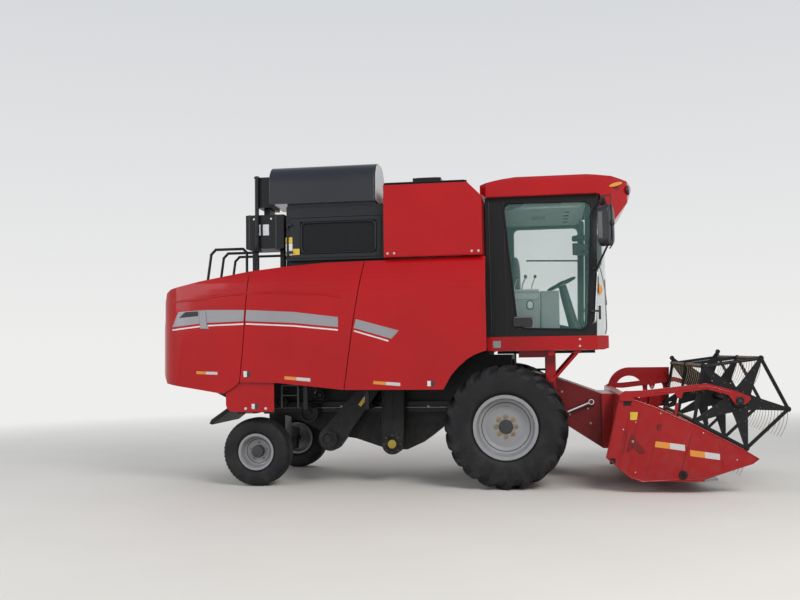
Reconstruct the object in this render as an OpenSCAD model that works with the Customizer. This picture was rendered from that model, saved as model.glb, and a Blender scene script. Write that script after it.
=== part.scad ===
// Self-propelled combine harvester with a grain header. Millimetres, +X forward, +Y left, +Z up.
// Every piece is placed from the ground point under the middle of the front axle; placed() moves that
// point so that the origin lies on the ground under the middle of the machine's box.

/* [Wheels] */
// Distance from the front axle to the rear axle
wheel_base = 3090; // [3000:10:3200]
// Diameter of a front tyre over its lugs
front_tyre_d = 1460; // [1420:10:1480]
// Width of a front tyre
front_tyre_w = 430; // [400:10:440]
// Distance between the middles of the front tyres
front_track = 2170; // [2150:10:2200]
// Height of a tread lug
lug_h = 38; // [25:1:45]
// Number of lugs on each half of a front tread
lug_n = 20; // [16:1:24]
// Diameter of a front rim at its flanges
front_rim_d = 760; // [740:10:780]
// Diameter of a rear tyre
rear_tyre_d = 840; // [800:10:860]
// Width of a rear tyre
rear_tyre_w = 280; // [260:10:290]
// Distance between the middles of the rear tyres
rear_track = 1930; // [1900:10:1960]
// Diameter of a rear rim at its flanges
rear_rim_d = 450; // [430:10:470]

/* [Axles] */
// Diameter of a front wheel spindle
front_spindle_d = 90; // [70:5:100]
// Diameter of a rear wheel spindle
rear_spindle_d = 60; // [50:2:64]
// Diameter of a steering pin
kingpin_d = 56; // [50:2:60]
// Distance between the steering pins
kingpin_track = 1520; // [1500:10:1540]
// Running clearance of a shaft in its bore, on the radius
fit = 0.08; // [0.04:0.02:0.1]

/* [Body] */
// Width of the threshing body
body_w = 1120; // [1080:10:1140]
// Width over the side shields
shield_w = 2700; // [2660:10:2740]
// Thickness of a side shield
shield_t = 30; // [20:2:40]
// Gap between two shields
shield_gap = 10; // [8:1:14]
// Distance from the front axle to the rear face
rear_reach = 4300; // [4280:5:4340]
// Thickness of a sheet metal wall
wall = 25; // [20:1:30]
// Height of the chassis rails' top above the ground
rail_top = 1010; // [1000:5:1015]
// Bore of the rear tow pin
tow_pin_d = 30; // [24:1:36]

/* [Grain tank] */
// Length of the grain tank
tank_l = 1180; // [1140:10:1190]
// Height of the grain tank's rim above the ground
tank_top = 3640; // [3620:5:3660]
// Diameter of the unloading tube
unload_d = 260; // [220:10:280]
// Length of the unloading tube
unload_l = 3060; // [2900:20:3100]

/* [Cab] */
// Width of the cab
cab_w = 1740; // [1700:10:1760]
// Height of the cab floor's underside above the ground
cab_base = 1625; // [1620:5:1640]
// Height of the roof's underside above the ground
cab_top = 3500; // [3480:5:3520]
// Thickness of a cab wall
cab_wall = 45; // [40:1:60]
// Thickness of the glass
glass_t = 6; // [5:1:10]

/* [Header] */
// Inner width of the header
header_w = 2750; // [2700:10:2800]
// Thickness of an end plate
end_t = 40; // [30:2:50]
// Diameter of the header auger over its flighting
auger_d = 520; // [480:10:540]
// Number of knife guards
guard_n = 36; // [30:1:40]
// Radius of the reel at its tine bars
reel_r = 535; // [500:5:550]
// Turn of the reel at rest
reel_phase = -10.6; // [-20:0.2:10]
// Length of a reel tine
tine_l = 300; // [260:5:310]
// Number of tines on a bar
tine_n = 18; // [14:2:20]
// Width of the feeder house
feeder_w = 940; // [900:10:960]

/* [Hidden] */
$fn = 48;

// Small gap between pieces that seat on each other without touching
seat = 0.3;
// Overlap that joins the pieces of one casting
bite = 2;
front_axle_z = front_tyre_d / 2;
rear_axle_z = rear_tyre_d / 2;
front_y = front_track / 2;
rear_y = rear_track / 2;
pin_y = kingpin_track / 2;
side_y = shield_w / 2;
body_y = body_w / 2;
steer_arm = 180;
tie_pin_d = 20;
rail_h = 130;
rail_w = 70;
rail_y = body_y + 15 + rail_w / 2;
rail_bottom = rail_top - rail_h;
body_seat = rail_bottom + 8;
body_front_base = 985;
tank_front = -230;
tank_rear = tank_front - tank_l;
tank_right = -1300;
tank_left = 1000;
tank_base = 2765;
deck_z = 2360;

// Feeder and header joints, as X and Z
feeder_pivot = [300, 1220];
header_back_x = 1150;
header_y = header_w / 2;
auger_x = 1560;
auger_z = 460;
trough_r = auger_d / 2 + 40;
reel_axis = [2602, 1033];
reel_y = header_y - 45;
arm_pivot = [1420, 1120];
arm_w = 50;
arm_y = header_y + end_t / 2;
bar_d = 34;
star_offset = [0, 75];
bar_count = 5;

// Ends of the lift cylinders, as X and Z
lift_base = [215, 655];
lift_eye = [1020, 985];
lift_y = feeder_w / 2 + 60;
lift_pin_d = 40;
reel_pin_d = 16;
reel_lift_base = [1850, 600];
reel_lift_eye = [1952, 1085];
reel_lift_y = header_y - 28;
unload_pivot = [-430, 1185];
unload_z = 3480;

eye_r = 32;
front_reach = reel_axis[0] + reel_r * cos(reel_phase) + eye_r;
axle_x = (rear_reach - front_reach) / 2;

module placed() { translate([axle_x, 0, 0]) children(); }

// Extrusion of a drawing in X and Z between two values of Y
module across(y0, y1) {
    translate([0, y1, 0]) rotate([90, 0, 0]) linear_extrude(y1 - y0) children();
}

// Extrusion of a drawing in Y and Z between two values of X
module lengthways(x0, x1) {
    translate([x0, 0, 0]) rotate([90, 0, 90]) linear_extrude(x1 - x0) children();
}

// Extrusion of a drawing in X and Y between two heights
module upright(z0, z1) { translate([0, 0, z0]) linear_extrude(z1 - z0) children(); }

// Points of an arc
function arc(c, r, a0, a1, n) = [for (i = [0 : n]) let (a = a0 + (a1 - a0) * i / n) c + r * [cos(a), sin(a)]];

// Box from its low corner to its high corner
module block(a, b) { translate(a) cube(b - a); }

// Round bar from one point to another
module rod(p, q, d) {
    v = q - p;
    l = norm(v);
    translate(p) rotate([0, acos(v[2] / l), atan2(v[1], v[0])]) cylinder(d = d, h = l);
}

// Round bar along a list of points, with round corners
module tube_path(points, d) {
    for (i = [0 : len(points) - 2]) rod(points[i], points[i + 1], d);
    if (len(points) > 2) for (i = [1 : len(points) - 2]) translate(points[i]) sphere(d = d + 2, $fn = 24);
}

module both_sides() {
    children();
    mirror([0, 1, 0]) children();
}

// Wheels. Drawings hold radius and distance outwards from the wheel's middle.
module tread_lug() {
    w = front_tyre_w / 2;
    sweep = -150;
    root = front_tyre_d / 2 - lug_h - 60;
    translate([0, 0, root]) linear_extrude(lug_h + 70)
        polygon([[-28, -12], [26, -12], [sweep + 34, w], [sweep - 34, w]]);
}

module front_tyre() {
    r = front_tyre_d / 2;
    base = r - lug_h;
    w = front_tyre_w / 2;
    bead = front_rim_d / 2 - 22 + seat;
    color([0.09, 0.09, 0.1]) rotate([90, 0, 0]) {
        rotate_extrude($fn = 64) polygon([
            [bead, -w + 45], [bead + 26, -w + 45], [bead + 60, -w + 12], [base - 150, -w], [base - 70, -w + 6],
            [base - 14, -w + 60], [base, -w + 120], [base, w - 120], [base - 14, w - 60],
            [base - 70, w - 6], [base - 150, w], [bead + 60, w - 12], [bead + 26, w - 45], [bead, w - 45]
        ]);
        rotate([-90, 0, 0]) intersection() {
            for (i = [0 : lug_n - 1]) rotate([0, i * 360 / lug_n, 0]) {
                tread_lug();
                rotate([0, 180 / lug_n, 0]) mirror([0, 1, 0]) tread_lug();
            }
            rotate([90, 0, 0]) rotate_extrude($fn = 64) polygon([
                [base - 90, -w], [r - 55, -w], [r, -w + 50], [r, w - 50], [r - 55, w], [base - 90, w]
            ]);
        }
    }
}

module front_rim() {
    r = front_rim_d / 2;
    well = r - 22;
    color([0.72, 0.73, 0.74]) rotate([90, 0, 0]) difference() {
        rotate_extrude($fn = 64) polygon([
            [r, 190], [r, 176], [well, 172], [well, 130], [well - 20, 110], [well - 20, -110], [well, -130],
            [well, -172], [r, -176],
            [r, -190], [well - 16, -188], [well - 40, -150], [well - 40, 46], [r - 150, 38], [r - 230, 46],
            [130, 46], [130, -90], [0, -90], [0, 84], [72, 84], [82, 74], [82, 62], [r - 235, 62],
            [r - 140, 54], [r - 100, 66], [well - 40, 76], [well - 36, 120], [well - 16, 186]
        ]);
        translate([0, 0, -91]) cylinder(d = front_spindle_d + 2 * fit, h = 120);
    }
}

module rear_tyre() {
    r = rear_tyre_d / 2;
    w = rear_tyre_w / 2;
    bead = rear_rim_d / 2 - 17 + seat;
    groove = 10;
    color([0.09, 0.09, 0.1]) rotate([90, 0, 0]) difference() {
        rotate_extrude($fn = 64) polygon([
            [bead, -w + 40], [bead + 20, -w + 40], [bead + 40, -w + 8], [r - 105, -w], [r - 50, -w + 6], [r - 12, -w + 40],
            [r, -w + 80], [r, w - 80], [r - 12, w - 40], [r - 50, w - 6], [r - 105, w],
            [bead + 40, w - 8], [bead + 20, w - 40], [bead, w - 40]
        ]);
        for (y = [-36, 36])
            rotate_extrude($fn = 64) translate([r - groove, y - 7]) square([groove + 5, 14]);
    }
}

module rear_rim() {
    r = rear_rim_d / 2;
    well = r - 17;
    color([0.72, 0.73, 0.74]) rotate([90, 0, 0]) difference() {
        rotate_extrude($fn = 64) polygon([
            [r, 114], [r, 104], [well, 102], [well, 80], [well - 12, 66], [well - 12, -66], [well, -80],
            [well, -102], [r, -104],
            [r, -114], [well - 12, -112], [well - 26, -90], [well - 28, -30], [well - 62, -16], [72, -16],
            [72, -65], [0, -65], [0, 52], [58, 52], [70, 30], [78, -4], [well - 62, -4], [well - 40, 6],
            [well - 28, 30], [well - 26, 84], [well - 12, 112]
        ]);
        translate([0, 0, -66]) cylinder(d = rear_spindle_d + 2 * fit, h = 100);
    }
}

// Chassis and axles
module chassis_frame() {
    rail_front = 600;
    rail_rear = -wheel_base - 390;
    post = 70;
    color([0.16, 0.16, 0.17]) {
        both_sides() {
            block([rail_rear, rail_y - rail_w / 2, rail_bottom], [rail_front, rail_y + rail_w / 2, rail_top]);
            // Saddles that carry the rails on the front axle
            block([-90, rail_y - 45, front_axle_z + 90 + seat], [90, rail_y + 45, rail_bottom + bite]);
            // Outriggers that carry the side shields
            for (x = [-1645, -2400, -3150])
                block([x - 25, rail_y, rail_top - 60], [x + 25, side_y - shield_t - 40, rail_top - 10]);
            for (x = [-1645, -2400, -3150])
                block([x - 25, side_y - shield_t - 90, rail_top - 60], [x + 25, side_y - shield_t - 40, 1330]);
            // Pivot ears of the feeder house
            difference() {
                block([rail_front - 420, feeder_w / 2 + 12, rail_top - bite],
                    [feeder_pivot[0] + 90, rail_y + 20, feeder_pivot[1] + 90]);
                translate([feeder_pivot[0], feeder_w / 2, feeder_pivot[1]]) rotate([-90, 0, 0])
                    cylinder(d = 80 + 2 * fit, h = 240);
            }
        }
        // Cross members, each with the height of its top
        for (m = [[rail_rear + 40, body_seat], [-wheel_base, body_seat], [-290, body_front_base]])
            block([m[0] - 40, -rail_y, rail_bottom - 20], [m[0] + 40, rail_y, m[1] - seat]);
        // Bracket that carries the rear axle at its middle
        difference() {
            block([-wheel_base - 110, -150, rear_axle_z + 100], [-wheel_base + 110, 150, rail_bottom - 15]);
            block([-wheel_base - 75 - seat, -160, rear_axle_z + 60],
                [-wheel_base + 75 + seat, 160, rear_axle_z + 230 + seat]);
        }
        // Tow plate with its pin bore
        difference() {
            block([rail_rear - 120, -90, rail_bottom - 50], [rail_rear + 80, 90, rail_bottom - 20 + bite]);
            translate([rail_rear - 70, 0, rail_bottom - 60]) cylinder(d = tow_pin_d, h = 60);
        }
    }
}

// Stand under the cab: posts on the rails, struts to the floor's front corners
module cab_stand() {
    post_x = 600 - 120;
    color([0.62, 0.06, 0.08]) both_sides() {
        block([post_x, rail_y - rail_w / 2, rail_top + seat], [post_x + 120, rail_y + rail_w / 2, cab_base - seat]);
        block([post_x - 330, rail_y - rail_w / 2, 1540], [post_x + bite, rail_y + rail_w / 2, cab_base - seat]);
        rod([post_x + 80, 800, 1260], [860, 800, cab_base - 30], 36);
        block([post_x + 30, rail_y, 1240], [post_x + 110, 830, 1290]);
        block([820, 770, cab_base - 40], [900, 830, cab_base - seat]);
        block([post_x + 30, rail_y, 1560], [post_x + 110, 830, cab_base - seat]);
    }
}

module front_axle() {
    spindle_end = front_y + 22;
    flange = front_y - 95;
    color([0.13, 0.13, 0.14]) {
        block([-110, -670, front_axle_z - 90], [110, 670, front_axle_z + 90]);
        block([-190, -210, front_axle_z - 130], [190, 210, front_axle_z + 140]);
        both_sides() translate([0, 0, front_axle_z]) rotate([-90, 0, 0]) {
            translate([0, 0, 664]) cylinder(d = 340, h = 110);
            translate([0, 0, 774 - bite]) cylinder(d = 280, h = flange - 774 + bite);
            translate([0, 0, flange - bite]) cylinder(d = front_spindle_d, h = spindle_end - flange + bite);
        }
        // Lugs for the lift cylinders
        both_sides() for (y = [lift_y - 50, lift_y + 38]) difference() {
            block([100, y, lift_base[1] - 45], [lift_base[0] + 45, y + 12, front_axle_z + 60]);
            translate([lift_base[0], y - 1, lift_base[1]]) rotate([-90, 0, 0])
                cylinder(d = lift_pin_d + 2 * fit, h = 14);
        }
    }
}

module rear_axle_beam() {
    z = rear_axle_z;
    eye = 90;
    color([0.14, 0.14, 0.15]) difference() {
        union() {
            lengthways(-wheel_base - 75, -wheel_base + 75) polygon([
                [-pin_y + 40, z + 60], [-400, z + 60], [-150, z + 90], [150, z + 90], [400, z + 60],
                [pin_y - 40, z + 60], [pin_y - 40, z + 150], [400, z + 200], [150, z + 230],
                [-150, z + 230], [-400, z + 200], [-pin_y + 40, z + 150]
            ]);
            both_sides() {
                translate([-wheel_base, pin_y, z + 60]) cylinder(d = eye, h = 100);
                translate([-wheel_base, pin_y, z - 130]) cylinder(d = eye, h = 50);
                block([-wheel_base - 40, pin_y - 120, z - 130], [-wheel_base + 40, pin_y - 10, z - 80]);
                block([-wheel_base - 40, pin_y - 120, z - 130], [-wheel_base + 40, pin_y - 70, z + 80]);
            }
        }
        both_sides() translate([-wheel_base, pin_y, z - 200]) cylinder(d = kingpin_d + 2 * fit, h = 400);
    }
}

module knuckle() {
    z = rear_axle_z;
    color([0.2, 0.2, 0.21]) {
        translate([-wheel_base, pin_y, z - 126]) cylinder(d = kingpin_d, h = 282);
        translate([-wheel_base, pin_y, z - 78]) cylinder(d = 94, h = 136);
        translate([-wheel_base, pin_y, z]) rotate([-90, 0, 0]) {
            cylinder(d = 90, h = rear_y - 70 - pin_y);
            cylinder(d = rear_spindle_d, h = rear_y + 28 - pin_y);
        }
        // Steering arm, pointing rearwards, with its pin
        block([-wheel_base - steer_arm - 20, pin_y - 20, z - 70], [-wheel_base, pin_y + 20, z - 40]);
        translate([-wheel_base - steer_arm, pin_y, z - 106]) cylinder(d = tie_pin_d, h = 40);
    }
}

// Rod that joins the two steering arms
module tie_rod() {
    x = -wheel_base - steer_arm;
    z = rear_axle_z - 88;
    color([0.2, 0.2, 0.21]) difference() {
        union() {
            block([x - 16, -pin_y, z - 14], [x + 16, pin_y, z + 14]);
            both_sides() translate([x, pin_y, z - 16]) cylinder(d = 46, h = 32);
        }
        both_sides() translate([x, pin_y, z - 20]) cylinder(d = tie_pin_d + 2 * fit, h = 40);
    }
}

// Threshing body with the straw hood at its rear
module threshing_body() {
    color([0.13, 0.13, 0.14]) difference() {
        across(-body_y, body_y) polygon([
            [-3520, body_seat], [-3000, body_seat], [-2700, 790], [-2300, 600], [-1920, 540], [-1560, 420], [-1270, 400],
            [-1050, 500], [-720, 760], [-360, body_front_base], [60, body_front_base], [60, 1580], [tank_front + 10, 1580],
            [tank_front + 10, 1950], [tank_rear - 40, 1950], [tank_rear - 40, deck_z - seat],
            [-3700, deck_z - seat], [-4100, 2200], [-4180, 1650], [-4100, 1230], [-3780, 1130], [-3520, 1000]
        ]);
        across(-body_y + wall, body_y - wall) polygon([
            [-3500, 860], [-3450, 2150], [-3720, 2290], [-4060, 2160], [-4145, 1650], [-4070, 1200],
            [-3760, 1080]
        ]);
        // Mouth that takes the crop from the feeder house
        block([-60, -feeder_w / 2 + 30, 1080], [61, feeder_w / 2 - 30, 1520]);
    }
    // Straw chute
    color([0.1, 0.1, 0.11]) across(-body_y + wall - bite, body_y - wall + bite) polygon([
        [-3522, 1020], [-3870, 780], [-3895, 730], [-3860, 715], [-3522, 960]
    ]);
    // Bulkhead behind the cab
    color([0.12, 0.12, 0.13]) {
        intersection() {
            block([tank_front + seat, -side_y, 1660], [tank_front + 12, side_y, 2640]);
            both_sides() lengthways(tank_front - 1, tank_front + 13) shield_section(shield_t + seat);
        }
        // Brackets over the front wheels
        both_sides() block([-475, body_y - bite, 1600], [-425, side_y - shield_t - 9, 1640]);
    }
}

// Section of the shields in Y and Z, as a filled outline set inwards by a distance
module shield_section(inset) {
    shoulder_r = 975 - inset;
    shoulder = [side_y - inset - shoulder_r, 2300];
    y = side_y - inset;
    polygon(concat([[0, 900], [y - 24, 900], [y - 24, 1100], [y, 1900]], arc(shoulder, shoulder_r, 0, 32, 8),
        [[700, 2950], [0, 2950]]));
}

// Plan of the shields in X and Y, as a filled outline set inwards by a distance
module shield_plan(inset) {
    corner_r = 400 - inset;
    c = [-rear_reach + 400, side_y - 400];
    polygon(concat([[20, 0], [20, side_y - inset]], arc(c, corner_r, 90, 180, 10), [[-rear_reach + inset, 0]]));
}

// Outline of the rear face in X and Z, from its foot to the top edge
rear_face = [for (p = [[130, 1100], [120, 1280], [25, 1424], [0, 1695], [10, 1856], [70, 2064], [75, 2287],
    [110, 2400], [190, 2446]]) [p[0] - rear_reach, p[1]]];

// Side view of the whole shell, its rear face set inwards by a distance
module shell_profile(inset) {
    polygon(concat([[20, 850]], [for (p = rear_face) [p[0] + inset, p[1]]],
        [[rear_face[8][0] + inset, 2950], [20, 2950]]));
}

// Skin of the left side and rear, before it is cut into shields
module shield_skin() {
    difference() {
        intersection() {
            lengthways(-rear_reach - 10, 0) shield_section(0);
            upright(900, 2900) shield_plan(0);
            across(-1, side_y + 1) shell_profile(0);
        }
        intersection() {
            lengthways(-rear_reach - 20, 10) shield_section(shield_t);
            upright(890, 2910) shield_plan(shield_t);
            across(-2, side_y + 2) shell_profile(shield_t);
        }
    }
}

// Outlines of the shields in X and Z
split_front = [[-1657, 2735], [-1787, 2020], [-1912, 1186]];
split_rear = [[-3091, 2645], [-3159, 1766], [-3211, 1290]];
// Corner where the rear shield ends on the rear face
rear_seam_y = 1000;

function moved(points, dx) = [for (p = points) [p[0] + dx, p[1]]];

module front_outline() {
    polygon(concat(
        [[-200, 2752]], moved(split_front, shield_gap / 2),
        [[-718, 1180], [-620, 1350], [-525, 1455], [-430, 1535], [-334, 1590], [-200, 1636]]
    ));
}

module mid_outline() {
    polygon(concat(
        [[-2161, 2728]], moved(split_front, -shield_gap / 2), [[-2733, 1276]],
        [for (i = [2 : -1 : 0]) split_rear[i] + [shield_gap / 2, 0]], [[-2648, 2693]]
    ));
}

module rear_outline() {
    polygon(concat(
        moved(split_rear, -shield_gap / 2), [[-3313, 1209], [-3428, 1149]],
        [for (i = [1 : 7]) rear_face[i] - [5, 0]], [rear_face[8], [-3707, 2538]]
    ));
}

module fixed_shields() {
    color([0.78, 0.05, 0.08]) both_sides() {
        intersection() {
            shield_skin();
            across(1100, side_y + 10) front_outline();
        }
        // Lower skirt beside the rear wheel
        across(side_y - shield_t - 40 + seat, side_y - shield_t - 30) {
            translate([-3300, 1026]) circle(r = 100);
            polygon([[-3300, 926], [-2790, 926], [-2790, 1300], [-3400, 1300], [-3400, 1026]]);
        }
    }
}

// Hinge of a shield: its pins stand on the deck, its lugs on the shield
hinge_y = side_y - 160;
hinge_pin_d = 16;
mid_hinge = [2690, [-1850, -2450]];
rear_hinge = [2500, [-3230, -3640]];

module shield_lugs(hinge, rise) {
    r = 975 - shield_t / 2;
    c = [side_y - 975, 2300];
    for (x = hinge[1], side = [-1, 1]) difference() {
        lengthways(x + side * 19 - 6, x + side * 19 + 6) union() {
            translate([hinge_y, hinge[0]]) circle(d = 30);
            polygon([[hinge_y - 10, hinge[0] - 13], [hinge_y + 6, hinge[0] + 14],
                c + r * [cos(rise + 3), sin(rise + 3)], c + r * [cos(rise), sin(rise)]]);
        }
        translate([x + side * 19 - 10, hinge_y, hinge[0]]) rotate([0, 90, 0])
            cylinder(d = hinge_pin_d + 2 * fit, h = 20);
    }
}

module mid_shield() {
    color([0.78, 0.05, 0.08]) {
        intersection() {
            shield_skin();
            across(1100, side_y + 10) mid_outline();
        }
        shield_lugs(mid_hinge, 19);
    }
}

module rear_shield() {
    color([0.78, 0.05, 0.08]) {
        intersection() {
            shield_skin();
            across(rear_seam_y + shield_gap / 2, side_y + 10) rear_outline();
        }
        shield_lugs(rear_hinge, 8);
    }
}

module rear_cover() {
    y = rear_seam_y - shield_gap / 2;
    color([0.78, 0.05, 0.08]) {
        intersection() {
            both_sides() shield_skin();
            across(-y, y) rear_outline();
        }
        across(-y, y) polygon([
            [-3830, 2505], rear_face[8] - [0, 8], rear_face[7] + [6, -6], rear_face[7] + [24, -30],
            rear_face[8] + [0, -40], [-3830, 2470]
        ]);
        // Brackets on the body
        for (side = [-1, 1]) block([-4275, side * 400 - 20, 1640], [-4180 - seat, side * 400 + 20, 1680]);
    }
}

// Grain tank, with its hopper down to the cross auger
module tank_section(inset) {
    polygon([
        [tank_right + inset, tank_top + 1], [tank_right + inset, tank_base + inset],
        [tank_right + 125, tank_base + inset], [-380, 1990 + inset],
        [320, 1990 + inset], [tank_left - inset, tank_base - 40], [tank_left - inset, tank_top + 1]
    ]);
}

// Side view of the tank: its front upper corner is cut off to clear the cab roof
module tank_profile(inset, top) {
    chamfer = 170;
    shift = 1.42 * inset;
    polygon([[tank_rear + inset, 1900], [tank_rear + inset, top], [tank_front - chamfer - shift, top],
        [tank_front - chamfer - shift, tank_top], [tank_front - inset, tank_top - chamfer - shift + inset],
        [tank_front - inset, 1900]]);
}

module grain_tank() {
    color([0.72, 0.05, 0.08]) difference() {
        intersection() {
            lengthways(tank_rear - 10, tank_front + 10) tank_section(0);
            across(tank_right - 10, tank_left + 10) tank_profile(0, tank_top);
        }
        intersection() {
            lengthways(tank_rear - 10, tank_front + 10) tank_section(wall);
            across(tank_right - 10, tank_left + 10) tank_profile(wall, tank_top + 20);
        }
    }
    // Foot of the unloading tube
    color([0.72, 0.05, 0.08]) {
        translate([unload_pivot[0], unload_pivot[1], 2780]) cylinder(d = unload_d, h = unload_z - 175 - 2780);
        block([unload_pivot[0] - 110, tank_left - bite, 2790], [unload_pivot[0] + 110, unload_pivot[1], 3000]);
    }
}

lid_hinge_z = tank_top + 30;
module tank_lid(y_hinge, y_edge) {
    s = sign(y_edge - y_hinge);
    lo = min(y_hinge + s * 6, y_edge);
    hi = max(y_hinge + s * 6, y_edge);
    color([0.12, 0.12, 0.13]) {
        block([tank_rear + 4, lo, tank_top + seat], [tank_front - 175, hi, tank_top + 26]);
        translate([tank_rear + 20, y_hinge, lid_hinge_z - 10]) rotate([0, 90, 0]) cylinder(d = 18, h = tank_l - 220);
        block([tank_rear + 20, min(y_hinge, y_hinge + s * 10), tank_top + 12],
            [tank_front - 200, max(y_hinge, y_hinge + s * 10), tank_top + 26]);
    }
}

// Low box on the right lid
module lid_box() {
    color([0.1, 0.1, 0.11]) block([-1056, tank_right + 60, tank_top + 24], [-717, tank_right + 350, tank_top + 80]);
}

// Unloading tube, folded rearwards beside the tank
module unloading_auger() {
    x = unload_pivot[0];
    y = unload_pivot[1];
    color([0.72, 0.05, 0.08]) {
        translate([x, y, unload_z - 175 + seat]) cylinder(d = unload_d, h = 175);
        translate([x, y, unload_z]) sphere(d = unload_d + 6, $fn = 48);
        rod([x, y, unload_z], [x - unload_l, y, unload_z], unload_d - 20);
        translate([x, y, unload_z - 175 + seat]) cylinder(d = unload_d + 50, h = 20);
    }
    color([0.1, 0.1, 0.11])
        block([x - unload_l + 20, y - 110, unload_z - 260], [x - unload_l + 230, y + 110, unload_z - 60]);
}

// Engine and what stands on the deck behind the tank
module engine_block() {
    color([0.25, 0.27, 0.26]) {
        block([-2720, -330, deck_z + 90], [-1720, 330, deck_z + 760]);
        block([-2620, -250, deck_z + 40 + seat], [-2480, 250, deck_z + 92]);
        block([-1960, -250, deck_z + 40 + seat], [-1820, 250, deck_z + 92]);
    }
}

module engine_deck() {
    y = side_y - 160;
    rear = -3800;
    rail = 34;
    color([0.14, 0.14, 0.15]) {
        block([rear, -y, deck_z], [tank_rear - 45, y, deck_z + 40]);
        both_sides() {
            across(y - 40, y) polygon([
                [rear, deck_z + 30], [tank_rear - 45, deck_z + 30], [tank_rear - 45, 2600], [-3060, 2560],
                [-3120, 2430], [rear, 2430]
            ]);
            // Stands and pins of the shields' hinges
            for (hinge = [mid_hinge, rear_hinge], x = hinge[1]) {
                lengthways(x - 12, x + 12) union() {
                    polygon([[y - 40, deck_z + 50], [y, deck_z + 50], [hinge_y + 8, hinge[0]], [hinge_y - 8, hinge[0]]]);
                    translate([hinge_y, hinge[0]]) circle(d = 20);
                }
                translate([x - 26, hinge_y, hinge[0]]) rotate([0, 90, 0]) cylinder(d = hinge_pin_d, h = 52);
            }
        }
    }
    // Handrails round the rear step
    color([0.1, 0.1, 0.11]) for (r = [[-1000, -3220], [-540, -3220], [-80, -2950]]) tube_path([
        [-3765, r[0], deck_z + 20], [-3690, r[0], 2900], [-3630, r[0], 2960], [r[1] - 50, r[0], 2960],
        [r[1], r[0], 2910], [r[1], r[0], deck_z + 20]
    ], rail);
}

radiator_y = -1180;
radiator_front = tank_rear - 15;
radiator_rear = -2650;
door_base = 2800;
screen_hinge = [radiator_rear + 14, radiator_y - 18];

module radiator_housing() {
    color([0.15, 0.16, 0.17]) difference() {
        union() {
            block([radiator_rear, radiator_y, door_base - 30], [radiator_front, -520, 3440]);
            block([radiator_rear, radiator_y + 80, deck_z + 40 + seat], [radiator_front, -520, door_base]);
        }
        block([radiator_rear + 30, radiator_y - 1, door_base - 5], [radiator_front - 30, -900, 3300]);
    }
    // Hinge pins of the screen door
    color([0.15, 0.16, 0.17]) for (z = [door_base + 60, 3200]) {
        translate([screen_hinge[0], screen_hinge[1], z - 30]) cylinder(d = 12, h = 64);
        translate([screen_hinge[0], screen_hinge[1], z - 30]) cylinder(d = 24, h = 30 - seat);
        block([screen_hinge[0] - 12, screen_hinge[1], z - 30], [screen_hinge[0] + 12, radiator_y + bite, z - seat]);
    }
}

module screen_door() {
    color([0.18, 0.19, 0.2]) {
        difference() {
            block([radiator_rear + 35, radiator_y + 2, door_base], [radiator_front - 35, radiator_y + 42, 3295]);
            block([-2480, radiator_y + 1, door_base + 45], [radiator_front - 90, radiator_y + 23, 3250]);
        }
        for (z = [door_base + 60, 3200]) difference() {
            union() {
                translate([screen_hinge[0], screen_hinge[1], z]) cylinder(d = 24, h = 30);
                block([screen_hinge[0], screen_hinge[1] - 8, z], [radiator_rear + 75, screen_hinge[1] + 8, z + 30]);
                block([radiator_rear + 55, screen_hinge[1], z], [radiator_rear + 75, radiator_y + 4, z + 30]);
            }
            translate([screen_hinge[0], screen_hinge[1], z - 1]) cylinder(d = 12 + 2 * fit, h = 40);
        }
    }
}

module cooling_hood() {
    front = tank_rear - 105;
    y0 = -1250;
    y1 = -610;
    z0 = 3470;
    top = 3960;
    r = 240;
    color([0.1, 0.1, 0.11]) {
        lengthways(-2850, front) {
            polygon([[y0, z0], [y1, z0], [y1, top - r], [y0, top - r]]);
            for (y = [y0 + r, y1 - r]) translate([y, top - r]) circle(r = r, $fn = 64);
            polygon([[y0 + r, z0], [y1 - r, z0], [y1 - r, top], [y0 + r, top]]);
        }
        block([radiator_rear + 10, radiator_y + 10, 3440 + seat], [front - 20, -700, z0 + bite]);
    }
}

module air_cleaner() {
    pipe = [-3010, -1235];
    color([0.1, 0.1, 0.11]) {
        block([-3165, -1200, 2930], [-2680, -760, 3350]);
        block([-3020, -1205, 3440], [-2850 - seat, -780, 3820]);
        block([-2960, -1100, 3340], [-2880, -900, 3450]);
        for (x = [-3120, -2760]) block([x - 25, -1000, deck_z + 40 + seat], [x + 25, -900, 2940]);
        // Pipe with its domed foot, clamped to the box
        translate([pipe[0], pipe[1], 2890]) cylinder(d = 50, h = 925);
        translate([pipe[0], pipe[1], 2890]) cylinder(d1 = 130, d2 = 60, h = 60);
        for (z = [3000, 3280]) block([pipe[0] - 30, pipe[1], z], [pipe[0] + 30, -1200 + bite, z + 25]);
    }
}

// Grain leg and tailings leg on the right side
module elevators() {
    y1 = -rail_y - rail_w / 2 - 5;
    y0 = y1 - 190;
    color([0.12, 0.12, 0.13]) {
        across(y0, y1) {
            translate([-1410, 500]) circle(d = 260);
            polygon([[-1540, 500], [-1280, 500], [-1240, 1500], [-1530, 1500]]);
        }
        across(y0, y1) {
            translate([-2200, 560]) circle(d = 300);
            polygon([[-2290, 440], [-2080, 470], [-1450, 1330], [-1620, 1430], [-2340, 620]]);
        }
        for (p = [[-1410, 500], [-2200, 560]])
            translate([p[0], y1 - bite, p[1]]) rotate([-90, 0, 0]) cylinder(d = 70, h = -body_y - y1 + bite - seat);
    }
    color([0.8, 0.7, 0.1]) translate([-1410, y0, 500]) rotate([90, 0, 0]) cylinder(d = 110, h = 20);
}

// Cab. The front edge of a side frame leans, and the windscreen bows forwards.
cab_rear = tank_front + 12 + seat;
cab_front = 1137;
cab_y = cab_w / 2;
floor_top = cab_base + 170;
screen_r = 2230;
screen_x = 1262 - screen_r;
door_hinge = [1056, cab_y + 18];
door_hinge_z = [2150, 3150];

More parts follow.
